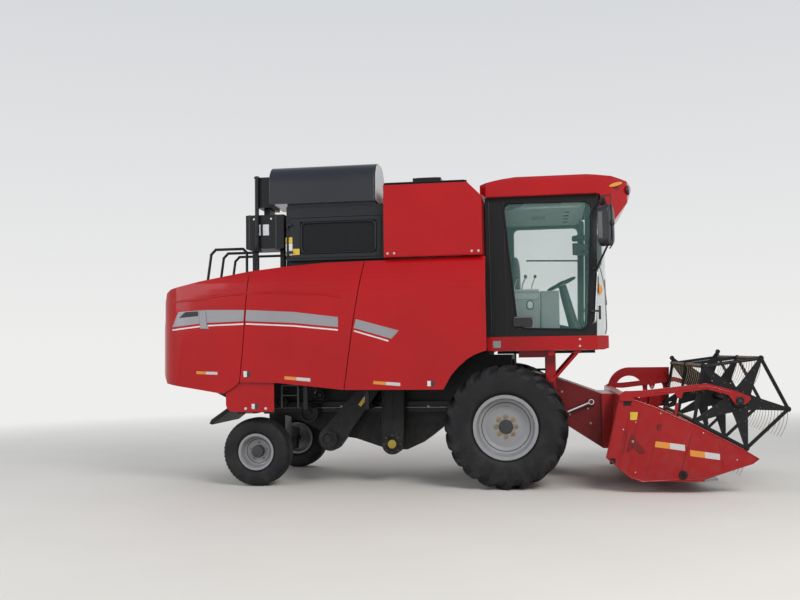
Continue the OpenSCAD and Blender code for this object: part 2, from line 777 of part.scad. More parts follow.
module side_outline() {
    polygon([[cab_rear, floor_top + seat], [1095, floor_top + seat], [cab_front, cab_top], [cab_rear, cab_top]]);
}

module window_outline(grow) {
    offset(delta = grow) polygon([[150, 1895], [995, 1864], [1074, 3422], [0, 3436]]);
}

module floor_plan() {
    polygon([[cab_rear, -cab_y], [1100, -cab_y], [1240, -cab_y + 160], [1285, 0], [1240, cab_y - 160],
        [1100, cab_y], [cab_rear, cab_y]]);
}

// Floor beam with its rounded nose
module cab_floor() {
    color([0.8, 0.06, 0.09]) intersection() {
        upright(cab_base, floor_top) floor_plan();
        across(-cab_y, cab_y) polygon([
            [cab_rear, cab_base], [1170, cab_base], [1240, cab_base + 20], [1278, cab_base + 70],
            [1285, floor_top - 50], [1270, floor_top], [cab_rear, floor_top]
        ]);
    }
}

module cab_shell() {
    color([0.11, 0.11, 0.12]) {
        // Right wall
        difference() {
            across(-cab_y, -cab_y + cab_wall) side_outline();
            across(-cab_y - 1, -cab_y + cab_wall + 1) window_outline(0);
        }
        // Left pillars and sill round the door
        difference() {
            across(cab_y - cab_wall, cab_y) side_outline();
            across(cab_y - cab_wall - 1, cab_y + 1)
                polygon([[-60, floor_top + 30], [1010, floor_top + 30], [1050, 3430], [-60, 3430]]);
        }
        // Rear wall with its window
        difference() {
            block([cab_rear, -cab_y, floor_top + seat], [cab_rear + cab_wall, cab_y, cab_top]);
            block([cab_rear - 1, -620, 2450], [cab_rear + cab_wall + 1, 620, 3350]);
        }
        // Hinge pins of the door
        for (z = door_hinge_z) {
            translate([door_hinge[0], door_hinge[1], z - 40]) cylinder(d = 26, h = 40 - seat);
            translate([door_hinge[0], door_hinge[1], z - 40]) cylinder(d = 14, h = 84);
            block([door_hinge[0] - 4, cab_y - 10, z - 40], [door_hinge[0] + 34, door_hinge[1] + 6, z - seat]);
        }
        // Sill and header of the windscreen
        block([1040, -cab_y, floor_top + seat], [1090, cab_y, floor_top + 60]);
        block([1040, -cab_y, cab_top - 70], [1098, cab_y, cab_top]);
    }
}

module cab_glass() {
    color([0.35, 0.5, 0.47, 0.5]) {
        // Windscreen
        intersection() {
            translate([screen_x, 0, floor_top + seat]) difference() {
                cylinder(r = screen_r, h = cab_top - floor_top - 2 * seat, $fn = 180);
                translate([0, 0, -1]) cylinder(r = screen_r - glass_t, h = 2000, $fn = 180);
            }
            block([1098 + seat, -cab_y + cab_wall + 4, floor_top], [1300, cab_y - cab_wall - 4, cab_top]);
        }
        // Right window and rear window, each in its opening
        across(-cab_y + 12, -cab_y + 12 + glass_t) window_outline(-seat);
        block([cab_rear + 12, -620 + seat, 2450 + seat], [cab_rear + 12 + glass_t, 620 - seat, 3350 - seat]);
    }
}

module cab_door() {
    y0 = cab_y - cab_wall + 2;
    color([0.11, 0.11, 0.12]) difference() {
        across(y0, cab_y + 8)
            polygon([[-54, floor_top + 36], [1004, floor_top + 36], [1042, 3424], [-54, 3424]]);
        across(y0 - 1, cab_y + 9)
            polygon([[60, floor_top + 320], [930, floor_top + 120], [960, 3330], [60, 3330]]);
    }
    color([0.35, 0.5, 0.47, 0.5]) across(cab_y - 20, cab_y - 20 + glass_t)
        polygon([[60, floor_top + 320], [930, floor_top + 120], [960, 3330], [60, 3330]]);
    color([0.11, 0.11, 0.12]) {
        block([10, cab_y + 8 - bite, 2380], [50, cab_y + 40, 2560]);
        for (z = door_hinge_z) difference() {
            union() {
                translate([door_hinge[0], door_hinge[1], z]) cylinder(d = 26, h = 40);
                block([960, cab_y + 6, z], [door_hinge[0], door_hinge[1] + 8, z + 40]);
            }
            translate([door_hinge[0], door_hinge[1], z - 1]) cylinder(d = 14 + 2 * fit, h = 50);
        }
    }
}

// Channel in the roof that takes the top of the windscreen
module screen_channel() {
    translate([screen_x, 0, 3100]) intersection() {
        difference() {
            cylinder(r = screen_r + seat, h = cab_top - 3100 + seat / 2, $fn = 180);
            translate([0, 0, -1]) cylinder(r = screen_r - glass_t - seat, h = 500, $fn = 180);
        }
        block([1000 - screen_x, -cab_y, -1], [1400 - screen_x, cab_y, 500]);
    }
}

module cab_roof() {
    y = cab_y + 80;
    color([0.8, 0.06, 0.09]) difference() {
        intersection() {
            across(-y, y) polygon([
                [-275, 3660], [0, 3722], [250, 3758], [500, 3774], [800, 3768], [1100, 3735], [1400, 3684],
                [1585, 3640], [1575, 3600], [1500, 3400], [1350, 3195], [1290, 3240], [1200, cab_top - 50],
                [1150, cab_top + seat], [-205, cab_top + seat], [-275, 3560]
            ]);
            lengthways(-300, 1600) polygon([
                [-y, 3100], [y, 3100], [y, 3700], [y - 50, 3745], [y - 250, 3775], [0, 3800], [250 - y, 3775],
                [50 - y, 3745], [-y, 3700]
            ]);
            upright(3100, 3900) polygon([
                [-290, -y + 80], [-200, -y], [1300, -y], [1500, -y + 200], [1575, -400], [1590, 0],
                [1575, 400], [1500, y - 200], [1300, y], [-200, y], [-290, y - 80]
            ]);
        }
        screen_channel();
    }
}

module seat() {
    color([0.2, 0.22, 0.22]) {
        block([120, -230, floor_top + seat], [520, 230, floor_top + 240]);
        block([100, -260, floor_top + 240 + seat], [580, 260, floor_top + 360]);
        block([60, -250, floor_top + 360 + seat], [180, 250, floor_top + 1050]);
    }
}

module controls() {
    color([0.55, 0.57, 0.57]) {
        // Console on the driver's right
        block([-60, -640, floor_top + seat], [420, -300, floor_top + 560]);
        // Steering column and wheel
        rod([860, 0, floor_top + seat + 40], [700, 0, floor_top + 700], 90);
        translate([700, 0, floor_top + 690]) rotate([0, -25, 0]) {
            rotate_extrude($fn = 48) translate([185, 0]) circle(d = 30, $fn = 16);
            for (a = [0, 120, 240]) rotate([0, 0, a]) translate([0, -15, -8]) cube([185, 30, 16]);
        }
        block([780, -90, floor_top + seat], [940, 90, floor_top + 80]);
    }
}

mirror_turn = 29;
mirror_reach = 1475;

module mirrors() {
    color([0.1, 0.1, 0.11]) both_sides() {
        tube_path([
            [1080, cab_y + seat + 12, 3560 - 250], [1200, 1200, 3400], [1230, 1330, 3250], [1230, 1330, 2850],
            [1090, cab_y + seat + 12, 2560]
        ], 24);
        for (f = [[1080, 3310], [1090, 2560]])
            block([f[0] - 20, cab_y + seat, f[1] - 20], [f[0] + 20, cab_y + seat + 16, f[1] + 20]);
        translate([1200, mirror_reach - 90 * cos(mirror_turn) - 60 * sin(mirror_turn), 3050])
            rotate([0, 0, mirror_turn]) rotate([0, 90, 0]) linear_extrude(60)
                polygon(concat(arc([150, 0], 90, -90, 90, 12), arc([-150, 0], 90, 90, 270, 12)));
    }
}

// Platform and ladder on the left side
module side_platform() {
    z = front_tyre_d + 125;
    y1 = 1460;
    color([0.14, 0.14, 0.15]) {
        block([-190, cab_y - 40, z], [1150, y1, z + 40 - seat]);
        // Handrails
        tube_path([[1130, 960, z + 20], [1130, 960, 2560], [1130, y1 - 30, 2560], [1130, y1 - 30, z + 20]], 34);
        for (x = [20, 490]) tube_path([[x, y1 - 40, z], [x, y1 - 40, 1790], [x, y1 - 140, 1790], [x, y1 - 140, z]], 26);
    }
    // Ladder
    color([0.14, 0.14, 0.15]) {
        for (x = [20, 460]) block([x, 1350, 520], [x + 30, 1450, z + 2]);
        for (i = [0 : 3]) block([40, 1350, 560 + i * 260], [470, 1450, 590 + i * 260]);
    }
}

// Feeder house, hollow from the header to the threshing body
module feeder_house() {
    y = feeder_w / 2;
    outline = [[100, 1290], [300, 1360], [560, 1300], [header_back_x - 5, 1085], [header_back_x - 5, 420],
        [730, 690], [300, 1030], [100, 1080]];
    color([0.5, 0.04, 0.07]) difference() {
        union() {
            across(-y, y) polygon(outline);
            translate([feeder_pivot[0], -rail_y, feeder_pivot[1]]) rotate([-90, 0, 0]) cylinder(d = 80, h = 2 * rail_y);
        }
        across(-y + wall, y - wall) polygon([
            [90, 1250], [310, 1320], [560, 1270], [header_back_x, 1010], [header_back_x, 490], [730, 730],
            [320, 1055], [90, 1112]
        ]);
    }
    color([0.5, 0.04, 0.07]) both_sides() {
        // Ear for the lift cylinder's eye
        difference() {
            union() {
                block([lift_eye[0] - 50, y - bite, lift_eye[1] - 50], [lift_eye[0] + 50, y + 20, lift_eye[1] + 50]);
                translate([lift_eye[0], y, lift_eye[1]]) rotate([-90, 0, 0])
                    cylinder(d = lift_pin_d, h = lift_y + 40 - y);
            }
        }
    }
}

module end_outline() {
    polygon([
        [1303, 1112], [1673, 982], [2112, 779], [2620, 504], [2791, 395], [2720, 340], [2189, 161], [1985, 150],
        [1518, 129], [1388, 177], [1130, 399]
    ]);
}

module header_frame() {
    y = header_y;
    color([0.78, 0.05, 0.08]) {
        difference() {
            across(-y - end_t, y + end_t) union() {
                difference() {
                    translate([auger_x, auger_z]) circle(r = trough_r + 20, $fn = 96);
                    translate([auger_x, auger_z]) circle(r = trough_r, $fn = 96);
                    translate([auger_x, -200]) square([600, 1400]);
                    translate([auger_x - 400, auger_z]) square([800, 600]);
                }
                translate([auger_x - bite, auger_z - trough_r - 20]) square([640, 20]);
                polygon([[auger_x - trough_r - 20, auger_z - bite], [auger_x - trough_r, auger_z - bite],
                    [1345, 1100], [1345, 1112], [1303, 1112]]);
                polygon([[1290, 1060], [1390, 1060], [1390, 1112], [1290, 1112]]);
            }
            // Mouth into the feeder house
            block([1100, -feeder_w / 2 + wall, 480], [1400, feeder_w / 2 - wall, 960]);
        }
        // Adapter ring between the back sheet and the feeder house
        difference() {
            across(-feeder_w / 2 - 60, feeder_w / 2 + 60) polygon([
                [header_back_x - 5 + seat, 1085], [header_back_x - 5 + seat, 420], [1246, 420], [1315, 1085]
            ]);
            block([1100, -feeder_w / 2 + wall, 480], [1400, feeder_w / 2 - wall, 960]);
        }
        both_sides() {
            difference() {
                across(y, y + end_t) end_outline();
                translate([auger_x, y - 1, auger_z]) rotate([-90, 0, 0]) cylinder(d = 50 + 2 * fit, h = 15);
            }
            translate([reel_lift_base[0], reel_lift_y - 15, reel_lift_base[1]]) rotate([-90, 0, 0])
                cylinder(d = reel_pin_d, h = y - reel_lift_y + 15 + bite);
            // Ears and pins of the reel arms' pivots
            for (side = [-1, 1])
                across(arm_y + side * (arm_w / 2 + 8) - 6, arm_y + side * (arm_w / 2 + 8) + 6)
                    polygon([[1300, 1040], [1450, 1040], [1450, 1150], [1360, 1150], [1300, 1112]]);
            block([1310, arm_y - arm_w / 2 - 14, 1045], [1378, arm_y + arm_w / 2 + 14, 1105]);
            translate([arm_pivot[0], arm_y - arm_w / 2 - 13, arm_pivot[1]]) rotate([-90, 0, 0])
                cylinder(d = 30, h = arm_w + 26);
        }
        // Cover of the drives on the left end, on a foot that passes under the reel arm
        across(y + end_t - bite, y + end_t + 12)
            polygon([[1420, 820], [1640, 820], [1640, 950], [1420, 1030]]);
        across(y + end_t + 10, y + end_t + 60) difference() {
            union() {
                translate([1650, 1060]) circle(r = 310);
                polygon([[1650, 1060], [1650, 1369], [2198, 1368], [2182, 831], [1900, 800], [1480, 900]]);
            }
            translate([1640, 1060]) circle(r = 190);
            translate([2000, 1080]) circle(r = 110);
            translate([1640, 300]) square([800, 470]);
        }
    }
}

module cutter_bar() {
    x0 = auger_x - bite + 640;
    z = auger_z - trough_r - 20;
    pitch = (header_w - 60) / guard_n;
    color([0.35, 0.35, 0.37]) {
        block([x0 + seat, -header_y + seat, z], [x0 + 60, header_y - seat, z + 22]);
        for (i = [0 : guard_n - 1]) upright(z, z + 22)
            translate([x0 + 58, -header_y + 30 + pitch * (i + 0.5)])
                polygon([[0, -16], [30, -16], [105, 0], [30, 16], [0, 16]]);
    }
}

// Flighting: a ribbon that climbs round the tube between two radii
module flighting(r0, r1, y0, length, turns) {
    steps = 16 * turns;
    t = 8;
    points = [for (i = [0 : steps]) let (a = 360 * turns * i / steps, y = y0 + length * i / steps)
        each [[r0 * cos(a), y, r0 * sin(a)], [r1 * cos(a), y, r1 * sin(a)],
            [r1 * cos(a), y + t, r1 * sin(a)], [r0 * cos(a), y + t, r0 * sin(a)]]];
    ring = [for (i = [0 : steps - 1], k = [0 : 3]) let (a = 4 * i + k, b = 4 * i + (k + 1) % 4)
        each [[a, b + 4, b], [a, a + 4, b + 4]]];
    last = 4 * steps;
    caps = [[1, 2, 3], [0, 1, 3], [last + 2, last + 1, last], [last + 3, last + 2, last]];
    polyhedron(points, concat(ring, caps));
}

module header_auger() {
    half = header_y - 12;
    color([0.45, 0.05, 0.07]) translate([auger_x, 0, auger_z]) {
        rotate([90, 0, 0]) cylinder(d = 300, h = 2 * half, center = true);
        flighting(140, auger_d / 2, 400, half - 420, 2);
        mirror([0, 1, 0]) flighting(140, auger_d / 2, 400, half - 420, 2);
        for (i = [0 : 7]) rotate([0, i * 45, 0]) translate([0, -280 + i * 80, 0]) cylinder(d = 18, h = auger_d / 2);
        rotate([90, 0, 0]) cylinder(d = 50, h = 2 * header_y + 20, center = true);
    }
}

module reel_arms() {
    color([0.75, 0.06, 0.09]) both_sides() {
        across(arm_y - arm_w / 2, arm_y + arm_w / 2) difference() {
            polygon([
                [1400, 1085], [1548, 1080], [1910, 1123], [1930, 1066], [1974, 1066], [1996, 1134],
                [2257, 1165], [2480, 1100], [2560, 990], [2650, 990], [2720, 1050],
                [2712, 1080], [2544, 1150], [2257, 1230], [1548, 1155], [1400, 1150]
            ]);
            translate(arm_pivot) circle(d = 30 + 2 * fit);
            translate(reel_axis) circle(d = 50 + 2 * fit);
        }
        translate([reel_lift_eye[0], reel_lift_y - 14, reel_lift_eye[1]]) rotate([-90, 0, 0])
            cylinder(d = reel_pin_d, h = arm_y - arm_w / 2 - reel_lift_y + 14 + bite);
    }
}

function bar_angle(i) = reel_phase + i * 360 / bar_count;
function bar_centre(i) = [reel_axis[0] + reel_r * cos(bar_angle(i)), reel_axis[1] + reel_r * sin(bar_angle(i))];

// Star plate with an eye at each bar
module star_outline() {
    difference() {
        union() {
            circle(r = 130);
            for (i = [0 : bar_count - 1]) rotate(bar_angle(i)) {
                polygon([[60, -105], [200, -70], [reel_r, -18], [reel_r, 18], [200, 70], [60, 105]]);
                translate([reel_r, 0]) circle(r = eye_r);
            }
        }
        for (i = [0 : bar_count - 1]) rotate(bar_angle(i)) translate([reel_r, 0]) circle(d = bar_d + 2 * fit);
    }
}

module reel_rotor() {
    t = 8;
    side = 2 * reel_r * sin(180 / bar_count);
    color([0.08, 0.08, 0.09]) translate([reel_axis[0], 0, reel_axis[1]]) {
        rotate([90, 0, 0]) cylinder(d = 110, h = 2 * reel_y, center = true);
        rotate([90, 0, 0]) cylinder(d = 50, h = 2 * (arm_y + arm_w / 2 - 2), center = true);
        for (y = [-reel_y, -t / 2, reel_y - t]) across(y, y + t) {
            star_outline();
            difference() {
                for (i = [0 : bar_count - 1]) rotate(bar_angle(i) + 180 / bar_count)
                    translate([reel_r * cos(180 / bar_count) - 20, -side / 2]) square([40, side]);
                for (i = [0 : bar_count - 1]) rotate(bar_angle(i)) translate([reel_r, 0])
                    circle(d = bar_d + 2 * fit);
            }
        }
    }
}

// Curved tine, hanging from its bar and bending rearwards
module tine_outline() {
    w = 7;
    n = 5;
    function tine_x(s) = 20 * s - 110 * s * s;
    polygon(concat(
        [for (i = [0 : n]) [tine_x(i / n) - w / 2, -tine_l * i / n]],
        [for (i = [n : -1 : 0]) [tine_x(i / n) + w / 2, -tine_l * i / n]]
    ));
}

module tine_bar(i) {
    c = bar_centre(i);
    half = reel_y + 20;
    pitch = (2 * reel_y - 120) / (tine_n - 1);
    color([0.07, 0.07, 0.08]) translate([c[0], 0, c[1]]) {
        rotate([90, 0, 0]) cylinder(d = bar_d, h = 2 * half, center = true);
        for (k = [0 : tine_n - 1]) across(-reel_y + 60 + k * pitch - 4, -reel_y + 60 + k * pitch + 4)
            translate([0, -bar_d / 2 + 2]) tine_outline();
        // Crank that reaches the control star
        across(half - 12, half) {
            circle(d = bar_d + 6);
            rotate(atan2(star_offset[1], star_offset[0])) translate([0, -14]) square([norm(star_offset), 28]);
            translate(star_offset) circle(d = bar_d + 6);
        }
        translate([star_offset[0], half - 6, star_offset[1]]) rotate([-90, 0, 0]) cylinder(d = bar_d, h = 18);
    }
}

// Control star that keeps the tines hanging: it turns about a point set off from the reel's axis
module reel_star() {
    y0 = reel_y + 26;
    color([0.08, 0.08, 0.09]) translate([reel_axis[0] + star_offset[0], 0, reel_axis[1] + star_offset[1]])
        across(y0, y0 + 6) difference() {
            star_outline();
            circle(d = 240);
        }
}

// Cylinders: each is opened at its rod's eye
function lift_way(a, b) = (b - a) / norm(b - a);

module cylinder_barrel(a, b, y, d, length, eye_w, bore) {
    v = lift_way(a, b);
    color([0.7, 0.06, 0.08]) {
        difference() {
            union() {
                rod([a[0], y, a[1]], [a[0] + v[0] * length, y, a[1] + v[1] * length], d);
                translate([a[0], y - eye_w / 2, a[1]]) rotate([-90, 0, 0]) cylinder(d = d + 10, h = eye_w);
            }
            rod([a[0] + v[0] * 60, y, a[1] + v[1] * 60],
                [a[0] + v[0] * (length + 5), y, a[1] + v[1] * (length + 5)], d / 2 + 2 * fit);
            if (bore > 0) translate([a[0], y - eye_w, a[1]]) rotate([-90, 0, 0]) cylinder(d = bore, h = 2 * eye_w);
        }
    }
}

module lift_barrels() {
    both_sides() {
        cylinder_barrel(lift_base, lift_eye, lift_y, 70, 560, 48, 0);
        color([0.7, 0.06, 0.08]) translate([lift_base[0], lift_y - 52, lift_base[1]]) rotate([-90, 0, 0])
            cylinder(d = lift_pin_d, h = 104);
    }
}

module cylinder_rod(a, b, y, d, start, pin_d, eye_w) {
    v = lift_way(a, b);
    l = norm(b - a);
    color([0.8, 0.8, 0.82]) difference() {
        union() {
            rod([a[0] + v[0] * start, y, a[1] + v[1] * start], [b[0], y, b[1]], d);
            translate([b[0], y - eye_w / 2, b[1]]) rotate([-90, 0, 0]) cylinder(d = pin_d + 26, h = eye_w);
        }
        translate([b[0], y - eye_w, b[1]]) rotate([-90, 0, 0]) cylinder(d = pin_d + 12, h = 2 * eye_w);
    }
}

module lift_rods() { both_sides() cylinder_rod(lift_base, lift_eye, lift_y, 35, 330, lift_pin_d, 44); }
module reel_lift_barrels() { both_sides() cylinder_barrel(reel_lift_base, reel_lift_eye, reel_lift_y, 36, 420, 26,
    reel_pin_d + 2 * fit); }
module reel_lift_rods() { both_sides() cylinder_rod(reel_lift_base, reel_lift_eye, reel_lift_y, 18, 76, reel_pin_d, 24); }

placed() chassis_frame();
placed() cab_stand();
placed() cab_floor();
placed() front_axle();
placed() threshing_body();
placed() rear_cover();
placed() fixed_shields();
placed() mirror([0, 1, 0]) mid_shield();  // mid_shield_right
placed() mid_shield();  // mid_shield_left
placed() mirror([0, 1, 0]) rear_shield();  // rear_shield_right
placed() rear_shield();  // rear_shield_left
placed() grain_tank();
placed() {  // tank_lid_right
    tank_lid(tank_right + 9, -150 - 3);
    lid_box();
}
placed() tank_lid(tank_left - 9, -150 + 3);  // tank_lid_left
placed() engine_block();
placed() engine_deck();
placed() radiator_housing();
placed() screen_door();
placed() cooling_hood();
placed() air_cleaner();
placed() elevators();
placed() cab_shell();
placed() cab_roof();
placed() cab_glass();
placed() cab_door();
placed() seat();
placed() controls();
placed() side_platform();
placed() mirrors();
placed() rear_axle_beam();
placed() mirror([0, 1, 0]) knuckle();  // knuckle_right
placed() knuckle();  // knuckle_left
placed() tie_rod();
placed() translate([0, -front_y, front_axle_z]) front_tyre();  // front_tyre_right
placed() translate([0, -front_y, front_axle_z]) front_rim();  // front_rim_right
placed() translate([0, front_y, front_axle_z]) mirror([0, 1, 0]) front_tyre();  // front_tyre_left
placed() translate([0, front_y, front_axle_z]) mirror([0, 1, 0]) front_rim();  // front_rim_left
placed() translate([-wheel_base, -rear_y, rear_axle_z]) rear_tyre();  // rear_tyre_right
placed() translate([-wheel_base, -rear_y, rear_axle_z]) rear_rim();  // rear_rim_right
placed() translate([-wheel_base, rear_y, rear_axle_z]) mirror([0, 1, 0]) rear_tyre();  // rear_tyre_left
placed() translate([-wheel_base, rear_y, rear_axle_z]) mirror([0, 1, 0]) rear_rim();  // rear_rim_left
placed() feeder_house();
placed() header_frame();
placed() cutter_bar();
placed() header_auger();
placed() reel_arms();
placed() reel_rotor();
placed() tine_bar(0);  // tine_bar_1
placed() tine_bar(1);  // tine_bar_2
placed() tine_bar(2);  // tine_bar_3
placed() tine_bar(3);  // tine_bar_4
placed() tine_bar(4);  // tine_bar_5
placed() reel_star();
placed() lift_barrels();
placed() lift_rods();
placed() reel_lift_barrels();
placed() reel_lift_rods();
placed() unloading_auger();
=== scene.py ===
"""Looks of a self-propelled combine harvester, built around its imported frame.

Sizes are in metres. Drawings are measured from the ground point under the middle of the front axle, with
X forward, Y to the driver's left and Z up; Form.build() moves them to the frame's own origin.
"""

import logging
import math
from dataclasses import dataclass
from enum import Enum
from typing import Iterable, Sequence

import bpy
import numpy as np
from mathutils import Matrix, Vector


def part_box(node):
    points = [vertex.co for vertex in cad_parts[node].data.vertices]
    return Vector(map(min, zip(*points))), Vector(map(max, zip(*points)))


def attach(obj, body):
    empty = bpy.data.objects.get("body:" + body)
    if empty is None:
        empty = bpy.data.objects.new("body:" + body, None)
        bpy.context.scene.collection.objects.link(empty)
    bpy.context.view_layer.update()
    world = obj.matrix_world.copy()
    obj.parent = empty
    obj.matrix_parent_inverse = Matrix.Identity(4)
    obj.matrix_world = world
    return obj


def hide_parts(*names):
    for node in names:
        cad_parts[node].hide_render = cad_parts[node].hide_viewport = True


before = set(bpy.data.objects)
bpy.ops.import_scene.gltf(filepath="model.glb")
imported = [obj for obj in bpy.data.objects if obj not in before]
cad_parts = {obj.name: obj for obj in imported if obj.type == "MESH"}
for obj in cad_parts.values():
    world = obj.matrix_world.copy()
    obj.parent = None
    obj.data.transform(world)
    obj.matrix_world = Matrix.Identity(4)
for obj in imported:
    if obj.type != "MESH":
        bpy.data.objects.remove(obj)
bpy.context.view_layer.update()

LOG = logging.getLogger("combine")
TAU = 2 * math.pi
_low, _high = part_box("front_rim_right")
AXLE_X = (_low[0] + _high[0]) / 2

Array = np.ndarray
Colour = tuple[float, float, float]
Place = Sequence[float]
Points = Sequence[Place]


class Side(Enum):
    """Side of the machine, with the sign of its Y."""

    RIGHT = -1
    LEFT = 1

    @property
    def word(self) -> str:
        """The side's name in piece and node names."""
        return self.name.lower()


# Shader maths.


class Wire:
    """A shader socket whose operators add Math nodes."""

    def __init__(self, sketch: "Sketch", socket: bpy.types.NodeSocket) -> None:
        """Wraps an output socket of a sketch's tree."""
        self.sketch = sketch
        self.socket = socket

    def _math(self, operation: str, first: object, second: object) -> "Wire":
        """Adds a Math node with two operands."""
        return self.sketch.node("ShaderNodeMath", {"operation": operation}, {0: first, 1: second})

    def __add__(self, other: object) -> "Wire":
        """Sum."""
        return self._math("ADD", self, other)

    __radd__ = __add__

    def __sub__(self, other: object) -> "Wire":
        """Difference."""
        return self._math("SUBTRACT", self, other)

    def __rsub__(self, other: object) -> "Wire":
        """Difference from the left operand."""
        return self._math("SUBTRACT", other, self)

    def __mul__(self, other: object) -> "Wire":
        """Product."""
        return self._math("MULTIPLY", self, other)

    __rmul__ = __mul__

    def clamped(self) -> "Wire":
        """The value held between zero and one."""
        return self.sketch.node("ShaderNodeClamp", {}, {"Value": self})

    def spread(self, low: float, high: float, to_low: float = 0.0, to_high: float = 1.0) -> "Wire":
        """The value carried smoothly from one range to another.

        Args:
            low: Value that becomes to_low.
            high: Value that becomes to_high.
            to_low: New low value.
            to_high: New high value.

        Returns:
            The new value.
        """
        return self.sketch.node("ShaderNodeMapRange", {"interpolation_type": "SMOOTHSTEP"},
                                {"Value": self, "From Min": low, "From Max": high,
                                 "To Min": to_low, "To Max": to_high})


class Sketch:
    """Node tree of one material."""

    def __init__(self, name: str) -> None:
        """Starts a named material with a Principled shader."""
        self.material = bpy.data.materials.new(name)
        self.material.use_nodes = True
        self.tree = self.material.node_tree
        self.tree.nodes.clear()
        self.output = self.tree.nodes.new("ShaderNodeOutputMaterial")
        self.shader = self.tree.nodes.new("ShaderNodeBsdfPrincipled")
        self.tree.links.new(self.shader.outputs[0], self.output.inputs["Surface"])

    def node(self, kind: str, settings: dict[str, object], inputs: dict[object, object],
             output: object = 0) -> Wire:
        """Adds a node.

        Args:
            kind: Blender's node type.
            settings: Attributes set before the sockets.
            inputs: Socket name or index to a value or Wire.
            output: Output socket name or index.

        Returns:
            The output socket's Wire.
        """
        made = self.tree.nodes.new(kind)
        for key, value in settings.items():
            setattr(made, key, value)
        for key, value in inputs.items():
            self.feed(made.inputs[key], value)
        return Wire(self, made.outputs[output])

    def feed(self, socket: bpy.types.NodeSocket, value: object) -> None:
        """Links or sets a socket."""
        if isinstance(value, Wire):
            self.tree.links.new(value.socket, socket)
        elif isinstance(value, (tuple, list)) and len(value) == 3 and socket.type == "RGBA":
            socket.default_value = (*value, 1.0)
        else:
            socket.default_value = value

    def place(self) -> Wire:
        """Object coordinates in metres."""
        return self.node("ShaderNodeTexCoord", {}, {}, "Object")

    def axis(self, name: str) -> Wire:
        """One Object coordinate, named X, Y or Z."""
        return self.node("ShaderNodeSeparateXYZ", {}, {0: self.place()}, name)

    def noise(self, scale: float, detail: float = 2.0, roughness: float = 0.5) -> Wire:
        """Noise between zero and one, of a scale per metre."""
        return self.node("ShaderNodeTexNoise", {},
                         {"Vector": self.place(), "Scale": scale, "Detail": detail, "Roughness": roughness})

    def stretched_noise(self, stretch: tuple[float, float, float], scale: float) -> Wire:
        """Noise drawn out along an axis, as brushed metal is."""
        moved = self.node("ShaderNodeMapping", {}, {"Vector": self.place(), "Scale": stretch})
        return self.node("ShaderNodeTexNoise", {}, {"Vector": moved, "Scale": scale, "Detail": 3.0})

    def mix(self, share: object, first: object, second: object) -> Wire:
        """Colour that goes from the first to the second as share goes from zero to one."""
        made = self.tree.nodes.new("ShaderNodeMix")
        made.data_type = "RGBA"
        for socket, value in zip((made.inputs[0], made.inputs[6], made.inputs[7]), (share, first, second)):
            self.feed(socket, value)
        return Wire(self, made.outputs[2])

    def bump(self, height: Wire, strength: float, distance: float) -> None:
        """Feeds a Bump node to the shader's normal."""
        self.set("Normal", self.node("ShaderNodeBump", {}, {"Height": height, "Strength": strength,
                                                            "Distance": distance}, "Normal"))

    def set(self, socket: str, value: object) -> None:
        """Sets or links one of the shader's sockets."""
        self.feed(self.shader.inputs[socket], value)


def shade(colour: Colour, amount: float) -> Colour:
    """The colour times an amount, held at one."""
    return tuple(min(1.0, c * amount) for c in colour)


@dataclass(frozen=True)
class Paint:
    """Sprayed sheet metal with a clear coat, faint waves and road dust towards the ground."""

    name: str
    colour: Colour
    roughness: float = 0.3
    coat: float = 0.5
    dust: float = 0.1
    metallic: float = 0.0
    shine: float = 0.5
    peel: float = 0.05

    def build(self) -> bpy.types.Material:
        """Makes the material: tone varies softly, dust gathers below 1.5 m and roughens the gloss, and the
        sheet's waves bend its reflections."""
        s = Sketch(self.name)
        cloud = s.noise(1.6, 3.0, 0.5)
        tone = s.mix(cloud.spread(0.3, 0.7), shade(self.colour, 0.95), shade(self.colour, 1.04))
        low = s.axis("Z").spread(0.1, 1.5, 1.0, 0.0)
        film = (low * s.noise(9.0, 6.0, 0.65).spread(0.35, 0.75) * self.dust).clamped()
        s.set("Base Color", s.mix(film, tone, (0.21, 0.185, 0.155)))
        s.set("Roughness", film * 0.5 + self.roughness + s.noise(12.0, 3.0) * 0.05)
        s.set("Metallic", self.metallic)
        s.set("Coat Weight", (1 - film) * self.coat)
        s.set("Coat Roughness", 0.05)
        s.set("Specular IOR Level", self.shine)
        s.bump(s.noise(5.0, 2.0), self.peel, 0.01)
        return s.material


@dataclass(frozen=True)
class Rubber:
    """Tyre or seal rubber, dusty in patches and more so near the ground."""

    name: str
    colour: Colour = (0.0095, 0.0097, 0.0115)
    dust: float = 0.22

    def build(self) -> bpy.types.Material:
        """Makes the material: two noises give dust in patches and fine pores."""
        s = Sketch(self.name)
        patch = s.noise(6.0, 5.0, 0.6).spread(0.35, 0.75)
        pores = s.noise(260.0, 3.0)
        film = (patch * s.axis("Z").spread(0.0, 1.6, 1.0, 0.25) * self.dust).clamped()
        s.set("Base Color", s.mix(film, self.colour, (0.085, 0.078, 0.068)))
        s.set("Roughness", film * 0.2 + 0.55 + pores * 0.08)
        s.set("Specular IOR Level", 0.25)
        s.bump(pores + patch * 0.6, 0.2, 0.0008)
        return s.material


